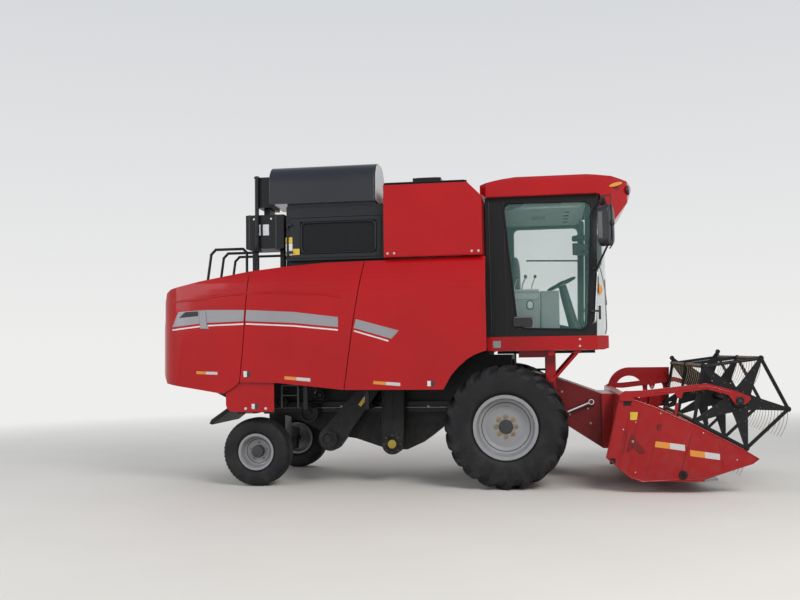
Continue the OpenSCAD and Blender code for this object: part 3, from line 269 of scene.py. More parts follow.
@dataclass(frozen=True)
class Metal:
    """Bare or plated metal with a drawn grain."""

    name: str
    colour: Colour
    roughness: float = 0.35
    grain: tuple[float, float, float] = (6.0, 1.0, 6.0)
    stain: float = 0.2

    def build(self) -> bpy.types.Material:
        """Makes the material: stretched noise gives the grain, soft noise the stains."""
        s = Sketch(self.name)
        drawn = s.stretched_noise(self.grain, 60.0)
        blot = s.noise(14.0, 4.0).spread(0.45, 0.75)
        s.set("Base Color", s.mix(blot * self.stain, self.colour, shade(self.colour, 0.45)))
        s.set("Metallic", 1.0)
        s.set("Roughness", drawn * 0.18 + self.roughness + blot * 0.1)
        s.bump(drawn, 0.08, 0.0004)
        return s.material


@dataclass(frozen=True)
class Moulding:
    """Grained plastic or lacquered tape."""

    name: str
    colour: Colour
    roughness: float = 0.5
    grain: float = 0.2
    coat: float = 0.0

    def build(self) -> bpy.types.Material:
        """Makes the material: fine cell noise gives the moulded grain."""
        s = Sketch(self.name)
        cells = s.node("ShaderNodeTexVoronoi", {}, {"Vector": s.place(), "Scale": 700.0}, "Distance")
        cloud = s.noise(5.0, 3.0).spread(0.3, 0.7)
        s.set("Base Color", s.mix(cloud, shade(self.colour, 0.92), shade(self.colour, 1.06)))
        s.set("Roughness", cloud * 0.08 + self.roughness)
        s.set("Coat Weight", self.coat)
        s.bump(cells, self.grain, 0.0004)
        return s.material


@dataclass(frozen=True)
class Lens:
    """Lamp lens or reflector with moulded prisms."""

    name: str
    colour: Colour
    pitch: float = 160.0

    def build(self) -> bpy.types.Material:
        """Makes the material: two waves crossed give the prisms."""
        s = Sketch(self.name)
        first = s.node("ShaderNodeTexWave", {"bands_direction": "Z"}, {"Vector": s.place(), "Scale": self.pitch})
        second = s.node("ShaderNodeTexWave", {"bands_direction": "Y"}, {"Vector": s.place(), "Scale": self.pitch})
        both = first + second
        s.set("Base Color", s.mix(both * 0.5, shade(self.colour, 0.8), self.colour))
        s.set("Roughness", 0.12)
        s.set("Coat Weight", 0.8)
        s.bump(both, 0.3, 0.001)
        return s.material


@dataclass(frozen=True)
class Glazing:
    """Tinted safety glass that lets most light through."""

    name: str
    colour: Colour = (0.14, 0.37, 0.33)
    alpha: float = 0.12

    def build(self) -> bpy.types.Material:
        """Makes the material: a faint film of dust changes how clear the glass is."""
        s = Sketch(self.name)
        film = s.noise(1.4, 3.0).spread(0.4, 0.8)
        s.set("Base Color", s.mix(film * 0.15, self.colour, (0.4, 0.42, 0.4)))
        s.set("Alpha", film * 0.015 + self.alpha)
        s.set("Roughness", film * 0.05 + 0.02)
        s.set("Specular IOR Level", 0.8)
        return s.material


@dataclass(frozen=True)
class Cloth:
    """Woven seat cover."""

    name: str
    colour: Colour

    def build(self) -> bpy.types.Material:
        """Makes the material: crossed waves give warp and weft."""
        s = Sketch(self.name)
        warp = s.node("ShaderNodeTexWave", {"bands_direction": "X"}, {"Vector": s.place(), "Scale": 210.0})
        weft = s.node("ShaderNodeTexWave", {"bands_direction": "Y"}, {"Vector": s.place(), "Scale": 210.0})
        weave = warp * weft
        s.set("Base Color", s.mix(weave, shade(self.colour, 0.6), shade(self.colour, 1.2)))
        s.set("Roughness", 0.9)
        s.set("Sheen Weight", 0.3)
        s.bump(weave, 0.4, 0.0008)
        return s.material


class Finish(Enum):
    """Finishes of this machine, by what they are on."""

    RED = Paint("red_body_paint", (0.39, 0.004, 0.0065), 0.2, 0.25, 0.05, 0.0, 0.2)
    HEADER_RED = Paint("header_paint", (0.32, 0.005, 0.0075), 0.32, 0.15, 0.10, 0.0, 0.25, 0.1)
    # Red darkened to paint the shade on the feeder house; also the dark red of seams, rims, the lever and its clip.
    DARK_RED = Paint("feeder_paint", (0.16, 0.004, 0.006), 0.38, 0.1, 0.12, 0.0, 0.25)
    BLACK = Paint("black_frame_paint", (0.0075, 0.0078, 0.0095), 0.34, 0.08, 0.08, 0.0, 0.22)
    GREY = Paint("grey_panel_paint", (0.014, 0.0155, 0.0185), 0.42, 0.06, 0.08, 0.0, 0.25)
    HOOD = Paint("hood_gloss_paint", (0.019, 0.0215, 0.0275), 0.2, 0.35, 0.0, 0.0, 0.3, 0.25)
    RIM = Paint("wheel_silver_paint", (0.27, 0.275, 0.29), 0.36, 0.2, 0.18, 0.15)
    UNDER = Paint("underbody_paint", (0.012, 0.0125, 0.0138), 0.5, 0.03, 0.2, 0.0, 0.22)
    HUB = Paint("hub_paint", (0.028, 0.031, 0.034), 0.45, 0.1, 0.15, 0.0, 0.4)
    RAIL = Paint("step_grey_paint", (0.075, 0.082, 0.09), 0.4, 0.1, 0.15)
    STRIPE = Paint("silver_stripe", (0.27, 0.265, 0.285), 0.34, 0.5, 0.0, 0.25)
    # Pale grey; on the hood's front cap it is painted sunlight on the dark hood.
    PALE = Paint("pale_panel_paint", (0.56, 0.58, 0.61), 0.4, 0.2, 0.05)
    WHITE = Moulding("white_tape", (0.66, 0.64, 0.64), 0.4, 0.05, 0.2)
    YELLOW = Moulding("yellow_plate", (0.62, 0.42, 0.03), 0.4, 0.05, 0.2)
    OCHRE = Moulding("yellow_cap", (0.30, 0.22, 0.02), 0.5, 0.05, 0.1)
    ORANGE = Lens("orange_reflector", (0.72, 0.26, 0.012))
    SILVER_TAPE = Lens("white_reflector", (0.60, 0.58, 0.58))
    AMBER = Lens("amber_lens", (0.75, 0.28, 0.02))
    CLEAR = Lens("lamp_glass", (0.66, 0.68, 0.70))
    STOP = Lens("red_lens", (0.45, 0.008, 0.008))
    TYRE = Rubber("tyre_rubber")
    SEAL = Rubber("seal_rubber", (0.008, 0.008, 0.009), 0.08)
    STEEL = Metal("knife_steel", (0.34, 0.34, 0.36), 0.34, (1.0, 8.0, 1.0), 0.5)
    BRIGHT = Metal("plated_steel", (0.62, 0.62, 0.63), 0.2, (6.0, 1.0, 6.0), 0.1)
    CHROME = Metal("chrome_rod", (0.78, 0.78, 0.8), 0.06, (1.0, 1.0, 1.0), 0.03)
    SPRING = Metal("spring_wire", (0.34, 0.26, 0.165), 0.42, (1.0, 1.0, 6.0), 0.5)
    MIRROR = Metal("mirror_glass", (0.85, 0.86, 0.87), 0.02, (1.0, 1.0, 1.0), 0.0)
    PLASTIC = Moulding("black_moulding", (0.013, 0.0135, 0.015), 0.5, 0.2)
    TRIM = Moulding("grey_trim", (0.26, 0.285, 0.28), 0.55, 0.2)
    # Pale liner; on the console's top it paints the armrest's highlight.
    LINER = Moulding("pale_liner", (0.36, 0.40, 0.39), 0.7, 0.2)
    GLASS = Glazing("tinted_glass")
    SEAT = Cloth("seat_cloth", (0.05, 0.055, 0.062))
    ENGINE = Paint("engine_paint", (0.06, 0.075, 0.07), 0.45, 0.1, 0.1, 0.0, 0.4)


SLOTS = {"steel": (Finish.BRIGHT, Finish.STEEL, Finish.SPRING, Finish.HUB, Finish.PALE),
         "red_paint": (Finish.RED, Finish.HEADER_RED, Finish.DARK_RED, Finish.WHITE, Finish.ORANGE,
                       Finish.SILVER_TAPE, Finish.STRIPE),
         "black_paint": (Finish.BLACK, Finish.UNDER), "grey_paint": (Finish.GREY, Finish.RAIL),
         "glass": (Finish.AMBER, Finish.STOP, Finish.CLEAR, Finish.GLASS), "cast": (Finish.ENGINE,),
         "cloth": (Finish.SEAT,), "tyre": (Finish.TYRE,)}
SLOT_OF = {finish: slot for slot, finishes in SLOTS.items() for finish in finishes}


class Store:
    """Materials made so far."""

    made: dict[Finish, bpy.types.Material] = {}

    @classmethod
    def of(cls, finish: Finish) -> bpy.types.Material:
        """The finish's material, made when first asked for."""
        if finish not in cls.made:
            cls.made[finish] = finish.value.build()
        return cls.made[finish]


# Forms.


@dataclass
class Form:
    """A closed surface as vertices and faces, before it becomes a piece."""

    points: Array
    faces: list[Sequence[int]]

    def __add__(self, other: "Form") -> "Form":
        """Both surfaces as one."""
        return joined([self, other])

    def flipped(self) -> "Form":
        """The surface turned inside out."""
        return Form(self.points, [list(f)[::-1] for f in self.faces])

    def outwards(self) -> "Form":
        """The surface with its faces outwards, where the sum of its signed cone volumes is positive."""
        fans = np.array([(f[0], a, b) for f in self.faces for a, b in zip(f[1:-1], f[2:])])
        p, q, r = self.points[fans].transpose(1, 0, 2)
        return self if (p * np.cross(q, r)).sum() > 0 else self.flipped()

    def mirrored(self) -> "Form":
        """The surface mirrored in Y, with its faces still outwards."""
        return Form(self.points * (1, -1, 1), self.faces).flipped()

    def moved(self, x: float = 0.0, y: float = 0.0, z: float = 0.0) -> "Form":
        """The surface moved."""
        return Form(self.points + (x, y, z), self.faces)

    def turned(self, angle: float, axis: str, centre: Place = (0, 0, 0)) -> "Form":
        """The surface turned about an axis through a centre, in radians by the right-hand rule."""
        turn = np.array(Matrix.Rotation(angle, 3, axis))
        return Form((self.points - centre) @ turn.T + centre, self.faces)

    def build(self, name: str, finish: Finish, body: str = "machine", smooth: bool = True, slot: str = "",
              replaces: Sequence[str] = (), bevel: float = 0.0, sharp: float = 0.6) -> bpy.types.Object:
        """Makes the piece in the frame's coordinates.

        Args:
            name: Piece name.
            finish: Its finish.
            body: The CAD body that carries it.
            smooth: Smooth shading below the sharp angle.
            slot: Not used; a material slot's name, or empty for the finish's usual one.
            replaces: CAD nodes that the piece stands for.
            bevel: Width of an edge bevel, or zero.
            sharp: Angle in radians over which an edge stays sharp.

        Returns:
            The object.
        """
        mesh = bpy.data.meshes.new(name)
        mesh.from_pydata((self.points + (AXLE_X, 0, 0)).tolist(), [], [list(f) for f in self.faces])
        mesh.materials.append(Store.of(finish))
        mesh.validate()
        if smooth:
            mesh.shade_smooth()
            mesh.set_sharp_from_angle(angle=sharp)
        piece = bpy.data.objects.new(name, mesh)
        bpy.context.scene.collection.objects.link(piece)
        if bevel:
            cut = piece.modifiers.new("edge", "BEVEL")
            cut.width = bevel
            cut.segments = 2
            cut.limit_method = "ANGLE"
        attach(piece, body)
        slot = slot or SLOT_OF.get(finish, "plastic")
        if replaces:
            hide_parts(*replaces)
        LOG.info("%s: %d faces on %s", name, len(self.faces), body)
        return piece

    def pair(self, name: str, finish: Finish, body: str = "machine", **more: object) -> None:
        """Builds the form, drawn for the left, on both sides.

        Args:
            name: Piece name, which gets _right and _left.
            finish: The finish.
            body: The body; one whose name ends in _ gets the side's word too.
            more: Other arguments of build.
        """
        for side, form in ((Side.RIGHT, self.mirrored()), (Side.LEFT, self)):
            form.build(f"{name}_{side.word}", finish, body + side.word if body.endswith("_") else body, **more)


def joined(forms: Iterable[Form]) -> Form:
    """All forms, at least one, as one form."""
    items = list(forms)
    shifts = np.cumsum([0] + [len(f.points) for f in items[:-1]])
    faces = [[i + int(s) for i in face] for f, s in zip(items, shifts) for face in f.faces]
    return Form(np.vstack([f.points for f in items]), faces)


def lattice(rows: int, columns: int, wrap_rows: bool = False, wrap_columns: bool = False) -> list[list[int]]:
    """Quads of a grid of rows times columns points, which may wrap round in either direction."""
    i, j = np.meshgrid(np.arange(rows - (not wrap_rows)), np.arange(columns - (not wrap_columns)), indexing="ij")
    below, beside = (i + 1) % rows, (j + 1) % columns
    corners = [i * columns + j, below * columns + j, below * columns + beside, i * columns + beside]
    return np.stack(corners, -1).reshape(-1, 4).tolist()


def loft(rings: Array, loop: bool = False) -> Form:
    """A closed surface through rings of points, rings x points x 3.

    Args:
        rings: The points; each ring closes on itself.
        loop: Whether the last ring joins the first; otherwise the end rings are filled.

    Returns:
        The form.
    """
    rows, columns = rings.shape[:2]
    faces = lattice(rows, columns, loop, True)
    if not loop:
        last = rows * columns - 1
        faces += [list(range(columns)), list(range(last, last - columns, -1))]
    return Form(rings.reshape(-1, 3), faces).outwards()


def placed(outline: Points, at: float, axis: str = "Y") -> Array:
    """Points of a flat outline, put at a value on the axis that it lacks."""
    return np.insert(np.asarray(outline, float), "XYZ".index(axis), at, axis=1)


def pipe(path: Points, radius: float | Array, sides: int = 8, loop: bool = False) -> Form:
    """A round bar along a path: each ring is the path's point plus radius times a turning cross vector.

    Args:
        path: Points, one row each.
        radius: Radius, or one for each point.
        sides: Points round the bar.
        loop: Whether the path closes on itself.

    Returns:
        The closed form.
    """
    path = np.asarray(path, float)
    ahead = np.roll(path, -1, 0) - np.roll(path, 1, 0) if loop else np.gradient(path, axis=0)
    ahead /= np.linalg.norm(ahead, axis=1, keepdims=True)
    seed = np.eye(3)[2 if abs(ahead[:, 2]).max() < 0.9 else 1]
    if abs(ahead @ seed).max() > 0.97:
        seed = np.eye(3)[0]
    across = np.cross(ahead, seed)
    across /= np.linalg.norm(across, axis=1, keepdims=True)
    over = np.cross(across, ahead)
    turn = np.linspace(0, TAU, sides, endpoint=False)[None, :, None]
    size = np.broadcast_to(np.asarray(radius, float), (len(path),))[:, None, None]
    return loft(path[:, None] + (across[:, None] * np.cos(turn) + over[:, None] * np.sin(turn)) * size, loop)


def bent(points: Points, radius: float, steps: int = 5) -> Array:
    """A path of straight runs whose corners are rounded: each corner is a quadratic curve.

    Args:
        points: Corner points.
        radius: How far from a corner the curve starts.
        steps: Points on each corner.

    Returns:
        The path's points.
    """
    p = np.asarray(points, float)
    out = [p[0]]
    t = np.linspace(0, 1, steps)[:, None]
    for before, at, after in zip(p[:-2], p[1:-1], p[2:]):
        back, on = before - at, after - at
        a = at + back / np.linalg.norm(back) * min(radius, np.linalg.norm(back) * 0.45)
        b = at + on / np.linalg.norm(on) * min(radius, np.linalg.norm(on) * 0.45)
        out.extend((1 - t) ** 2 * a + 2 * t * (1 - t) * at + t ** 2 * b)
    out.append(p[-1])
    return np.array(out)


def lathe(profile: Points, centre: Place = (0, 0, 0), axis: str = "Y", steps: int = 20) -> Form:
    """A closed ring of revolution: each profile point is a radius and a place along the axis.

    Args:
        profile: Outline of the section, as radius and place along the axis; a radius of zero is a pole.
        centre: Point on the axis.
        axis: X, Y or Z.
        steps: Points round the axis.

    Returns:
        The form.
    """
    r, a = np.asarray(profile, float).T
    turn = np.linspace(0, TAU, steps, endpoint=False)
    flat = np.stack([np.outer(np.cos(turn), r), np.outer(np.sin(turn), r), np.broadcast_to(a, (steps, len(a)))], -1)
    order = {"X": (2, 0, 1), "Y": (1, 2, 0), "Z": (0, 1, 2)}[axis]
    return loft(flat[..., order] + np.asarray(centre, float), True)


def slab(front: Array, back: Array) -> Form:
    """A thin sheet between two grids of points of one size, rows x columns x 3, closed round its edge."""
    rows, columns = front.shape[:2]
    n = rows * columns
    face = np.array(lattice(rows, columns))
    at = np.arange(n).reshape(rows, columns)
    edge = np.concatenate([at[0], at[1:, -1], at[-1, -2::-1], at[-2:0:-1, 0]])
    after = np.roll(edge, -1)
    faces = np.vstack([face, face[:, ::-1] + n, np.stack([edge, after, after + n, edge + n], -1)])
    return Form(np.vstack([front.reshape(-1, 3), back.reshape(-1, 3)]), faces.tolist()).outwards()


def prism(outline: Points, low: float, high: float, axis: str = "Y") -> Form:
    """A flat outline carried along an axis between two values.

    Args:
        outline: Points; X and Z for axis Y, Y and Z for axis X, X and Y for axis Z.
        low: Lower value on the axis.
        high: Higher value on the axis.
        axis: X, Y or Z.

    Returns:
        The closed form.
    """
    n = len(outline)
    at = np.arange(n)
    after = np.roll(at, -1)
    faces = np.stack([at, after, after + n, at + n], -1).tolist() + [list(range(n))[::-1], list(range(n, 2 * n))]
    return Form(np.vstack([placed(outline, low, axis), placed(outline, high, axis)]), faces).outwards()


def corners_rounded(corners: Points, radius: float, steps: int = 7) -> Array:
    """A closed outline with its corners rounded, started in the middle of its last side."""
    p = np.asarray(corners, float)
    middle = (p[0] + p[-1]) / 2
    return bent([middle, *p, middle], radius, steps)[:-1]


def framed(outer: Array, inner: Array, low: float, high: float) -> Form:
    """A plate across Y with an opening: a square section carried round between two outlines of as many points."""
    ends = ((outer, low), (outer, high), (inner, high), (inner, low))
    return loft(np.stack([placed(outline, y) for outline, y in ends]), True)


def box(low: Place, high: Place) -> Form:
    """A box between two corners."""
    return prism([(low[0], low[2]), (high[0], low[2]), (high[0], high[2]), (low[0], high[2])], low[1], high[1])


def rod(start: Place, end: Place, radius: float, sides: int = 8) -> Form:
    """A straight round bar between two points."""
    return pipe([start, end], radius, sides)


def disc_outline(centre: Place, radius: float, count: int = 6, start: float = 0.0) -> Array:
    """Points of a regular outline round a centre."""
    turn = start + np.linspace(0, TAU, count, endpoint=False)
    return np.stack([centre[0] + radius * np.cos(turn), centre[1] + radius * np.sin(turn)], -1)


def rounded(low: Place, high: Place, radius: float, steps: int = 5) -> Array:
    """Outline of a rectangle with round corners, in two coordinates."""
    turn = np.linspace(0, TAU / 4, steps)
    corners = [(high[0] - radius, high[1] - radius, 0), (low[0] + radius, high[1] - radius, 1),
               (low[0] + radius, low[1] + radius, 2), (high[0] - radius, low[1] + radius, 3)]
    return np.vstack([np.stack([x + radius * np.cos(turn + q * TAU / 4), z + radius * np.sin(turn + q * TAU / 4)], -1)
                      for x, z, q in corners])


def panel(low: Place, high: Place, radius: float, near: float, far: float, axis: str = "Y") -> Form:
    """A plate with round corners between two corners of its face, from near to far on the axis."""
    return prism(rounded(low, high, radius), near, far, axis)


def bolts(places: Iterable[Place], radius: float, height: float, axis: str = "Y", way: int = 1) -> Form:
    """Hexagon heads on washers, standing out along an axis.

    Args:
        places: Points on the surface.
        radius: Radius of a head over its corners.
        height: Height of a head.
        axis: Axis along which the heads stand out.
        way: One or minus one, the direction along the axis.

    Returns:
        All heads as one form.
    """
    index = "XYZ".index(axis)
    made = []
    for place in places:
        base = place[index]
        for size, count, tall in ((radius * 1.45, 12, height * 0.25), (radius, 6, height)):
            outline = disc_outline(np.delete(place, index), size, count)
            made.append(prism(outline, *sorted((base - way * 0.001, base + way * tall)), axis))
    return joined(made)


def curve_through(points: Points, steps: int = 6) -> Array:
    """A smooth open curve through points, by the cubic whose slope at a point is half its neighbours' gap.

    Args:
        points: The points, in any number of coordinates.
        steps: Points on each stretch.

    Returns:
        The curve's points.
    """
    p = np.asarray(points, float)
    ends = np.vstack([2 * p[0] - p[1], p, 2 * p[-1] - p[-2]])
    a, b, c, d = (ends[i:i + len(p) - 1, None] for i in range(4))
    t = np.linspace(0, 1, steps, endpoint=False)[:, None]
    curve = 0.5 * (2 * b + (c - a) * t + (2 * a - 5 * b + 4 * c - d) * t ** 2 + (3 * b - a - 3 * c + d) * t ** 3)
    return np.vstack([curve.reshape(-1, p.shape[1]), p[-1:]])


# Wheels.


def fit_tyres(tyre: Form, name: str, axle: str, centre: Place) -> None:
    """Builds a tyre on both wheels of an axle, in place of the CAD's, with the same hand on both sides.

    Args:
        tyre: The tyre round the origin.
        name: First word of the pieces' names.
        axle: First word of the wheels' bodies and tyre nodes.
        centre: The left wheel's middle.
    """
    x, y, z = centre
    for side in Side:
        word = side.word
        tyre.moved(x, side.value * y, z).build(f"{name}_tyre_{word}", Finish.TYRE, f"{axle}_wheel_{word}",
                                               replaces=[f"{axle}_tyre_{word}"], sharp=0.5)


@dataclass(frozen=True)
class DriveTyre:
    """Front tyre with two rows of slanting lugs."""

    radius: float = 0.73
    half: float = 0.215
    depth: float = 0.038
    bead: float = 0.3585
    track: float = 1.085
    count: int = 20
    sweep: float = -0.150

    def crown(self, y: Array) -> Array:
        """Radius of the carcass under a lug, at a distance across from the middle."""
        base = self.radius - self.depth
        return np.interp(np.abs(y), [0, 0.095, 0.155, 0.19, self.half], [base, base, base - 0.014, 0.655, 0.60])

    def face(self, y: Array) -> Array:
        """Radius of a lug's face, at a distance across from the middle."""
        return np.interp(np.abs(y), [0, 0.10, 0.165, 0.195, self.half],
                         [self.radius, self.radius - 0.002, self.radius - 0.010, self.radius - 0.03, 0.662])

    def carcass(self) -> Form:
        """The tyre without its lugs: a smooth section turned about the axle, with a ring on its sidewall."""
        b = self.bead
        side = curve_through([(b + 0.030, 0.170), (b + 0.062, 0.200), (0.480, 0.2125), (0.560, 0.2145),
                              (0.622, 0.208), (0.662, 0.178), (0.683, 0.140), (0.692, 0.09)], 5)
        rings = [(r, y + 0.0022 * math.exp(-((r - 0.435) / 0.004) ** 2)) for r, y in side]
        half = [(b, 0.168), *rings, (0.692, 0.03)]
        return lathe(half + [(r, -y) for r, y in reversed(half)], steps=120)

    def lug(self) -> Form:
        """One lug at the top of the tyre, reaching from the middle to the +Y shoulder.

        Across the tyre it moves back by the sweep times a power of the distance; its foot is wider than its
        face by a slope on both flanks.
        """
        t = np.linspace(0, 1, 9)
        y = -0.012 + (self.half + 0.0115) * t
        foot, face = self.crown(y) - 0.012, self.face(y)
        wide, narrow = 0.046 + 0.010 * t, 0.024 + 0.008 * t
        flanks = np.stack([-wide, -narrow - 0.003, -narrow, narrow, narrow + 0.003, wide], 1)
        x = self.sweep * t[:, None] ** 1.15 + flanks
        r = np.stack([foot, face - 0.006, face, face, face - 0.006, foot], 1)
        return loft(np.stack([r * np.sin(x / r), np.broadcast_to(y[:, None], r.shape), r * np.cos(x / r)], -1))

    def make(self) -> None:
        """Builds the tyres of both sides."""
        lug, step = self.lug(), TAU / self.count
        rows = [lug.turned(i * step, "Y") for i in range(self.count)]
        rows += [lug.mirrored().turned((i + 0.5) * step, "Y") for i in range(self.count)]
        tyre = joined([self.carcass(), *rows])
        fit_tyres(tyre, "drive", "front", (0.0, self.track, self.radius))


@dataclass(frozen=True)
class SteerTyre:
    """Rear tyre with ribs round the tread and scallops on the shoulders."""

    radius: float = 0.42
    bead: float = 0.2085
    track: float = 0.965
    base: float = 3.09
    blocks: int = 48

    def make(self) -> None:
        """Builds the tyres of both sides."""
        b, r = self.bead, self.radius
        wall = curve_through([(b + 0.022, 0.100), (b + 0.045, 0.128), (0.300, 0.1388), (0.345, 0.1385),
                              (0.378, 0.130), (0.400, 0.112), (0.411, 0.096)], 5)
        tread = [(r - 0.002, 0.084), (r - 0.001, 0.066), (r - 0.012, 0.062), (r - 0.012, 0.050), (r, 0.046),
                 (r, 0.026), (r - 0.012, 0.022), (r - 0.012, 0.011), (r, 0.007)]
        half = [(b, 0.098), *map(tuple, wall), *tread]
        carcass = lathe(half + [(q, -y) for q, y in reversed(half)], steps=96)
        bar = prism([(-0.0085, 0.0), (0.0085, 0.0), (0.0065, 0.027), (-0.0065, 0.027)], 0.086, 0.122)
        bar = bar.moved(z=r - 0.037)
        scallops = [bar.turned(i * TAU / self.blocks, "Y") for i in range(self.blocks)]
        scallops += [s.mirrored() for s in scallops]
        tyre = joined([carcass, *scallops])
        fit_tyres(tyre, "steer", "rear", (-self.base, self.track, r))


@dataclass(frozen=True)
class WheelTrim:
    """Bolts, cap, valve and joint line of one size of wheel; faces are distances outwards from its middle.

    Attributes:
        name: First word of the pieces' names.
        body: The wheel's body, without its side.
        centre: The left wheel's middle.
        face: Face of the disc that the bolts stand on.
        circle: Radius of the bolts' circle.
        bolt: Radius of a bolt.
        count: Number of bolts.
        cap: Radius of the hub's cap.
        cap_face: Face of the cap.
        cap_depth: Depth of the cap.
        valve: Radius at which the valve stands.
        line: Radius and face of the joint between disc and rim.
    """

    name: str
    body: str
    centre: tuple[float, float, float]
    face: float
    circle: float
    bolt: float
    count: int
    cap: float
    cap_face: float
    cap_depth: float
    valve: float
    line: tuple[float, float]

    def make(self) -> None:
        """Builds the trim of both sides."""
        ring = placed(disc_outline((0, 0), self.circle, self.count, TAU / 4), self.face)
        head, body = self.bolt, f"{self.body}_"
        stud = [(0, 0), (0, 0.026), (head * 0.4, 0.026), (head * 0.55, 0.022), (head * 0.55, 0)]
        nuts = bolts(ring, head, 0.016) + joined([lathe(stud, place, steps=10) for place in ring])
        nuts.moved(*self.centre).pair(f"{self.name}_nuts", Finish.SPRING, body)
        c, f = self.cap, self.cap_face
        cap = lathe([(0, f - self.cap_depth), (0, f + 0.008), (c * 0.7, f + 0.007), (c * 0.93, f + 0.003),
                     (c, f - 0.004), (c * 1.02, f - self.cap_depth)], steps=40)
        cap.moved(*self.centre).pair(f"{self.name}_cap", Finish.HUB, body, slot="cast")
        r, out = self.line
        seam = lathe([(r - 0.004, out - 0.004), (r - 0.004, out + 0.0006), (r + 0.004, out + 0.0018),
                      (r + 0.004, out - 0.004)], steps=96)
        stem = pipe([(-self.valve * back, self.face + out, self.valve * up)
                     for back, out, up in ((0.78, 0.055, 0.62), (0.76, 0.09, 0.60), (0.70, 0.115, 0.56))], 0.006)
        (seam + stem).moved(*self.centre).pair(f"{self.name}_valve", Finish.SEAL, body)


# Side shields.


@dataclass(frozen=True)
class ShieldSkin:
    """The outer surface of the side shields as a formula, and thin pieces that lie on it."""

    half: float = 1.35
    rear: float = -4.3
    corner: float = 0.4
    shoulder_z: float = 2.3
    shoulder_r: float = 0.975

    def flank(self, z: Array) -> Array:
        """Distance of the skin from the middle plane: straight to the shoulder, then an arc."""
        z = np.asarray(z, float)
        low = np.interp(z, [1.1, 1.9], [self.half - 0.024, self.half])
        over = np.clip(z - self.shoulder_z, 0, self.shoulder_r)
        arc = self.half - self.shoulder_r + np.sqrt(self.shoulder_r ** 2 - over ** 2)
        return np.where(z > self.shoulder_z, arc, low)

    def skin(self, x: Array, z: Array) -> Array:
        """Distance of the skin from the middle plane, with the round rear corner taken off."""
        into = np.clip(self.rear + self.corner - np.asarray(x, float), 0, self.corner)
        return self.flank(z) - (self.corner - np.sqrt(np.maximum(self.corner ** 2 - into ** 2, 0)))

    def band(self, upper: Points, lower: Points, start: tuple[float, float],
             end: tuple[float, float], proud: float = 0.0012, steps: int = 48) -> Form:
        """A band on the skin between two lines, cut slantwise at its ends.

        Args:
            upper: Points of the upper line, X and Z, in order of X.
            lower: Points of the lower line.
            start: X of the band's rear end on the upper and lower lines.
            end: X of its front end on both.
            proud: How far it stands off the skin.
            steps: Points along it.

        Returns:
            The band on the left side.
        """
        u = np.linspace(0, 1, steps)
        xu, xl = (start[i] + (end[i] - start[i]) * u for i in (0, 1))
        zu, zl = np.interp(xu, *np.asarray(upper, float).T), np.interp(xl, *np.asarray(lower, float).T)
        v = np.linspace(0, 1, 7)[None, :]
        x = xu[:, None] * (1 - v) + xl[:, None] * v
        z = zu[:, None] * (1 - v) + zl[:, None] * v
        y = self.skin(x, z)
        return slab(np.stack([x, y + proud, z], -1), np.stack([x, y - 0.003, z], -1))

    def plate(self, low: tuple[float, float], high: tuple[float, float], proud: float, slant: float = 0.0) -> Form:
        """A small plate on the skin between two corners in X and Z, its front end lowered by the slant."""
        (x0, z0), (x1, z1) = low, high
        return self.band([(x0, z1), (x1, z1 - slant)], [(x0, z0), (x1, z0 - slant)], (x0, x0), (x1, x1), proud, 8)

    def edge(self, path: Points, width: float, proud: float) -> Form:
        """A round bead that follows points in X and Z on the skin."""
        p = curve_through(path, 6)
        return pipe(np.stack([p[:, 0], self.skin(p[:, 0], p[:, 1]) + proud, p[:, 1]], -1), width / 2)


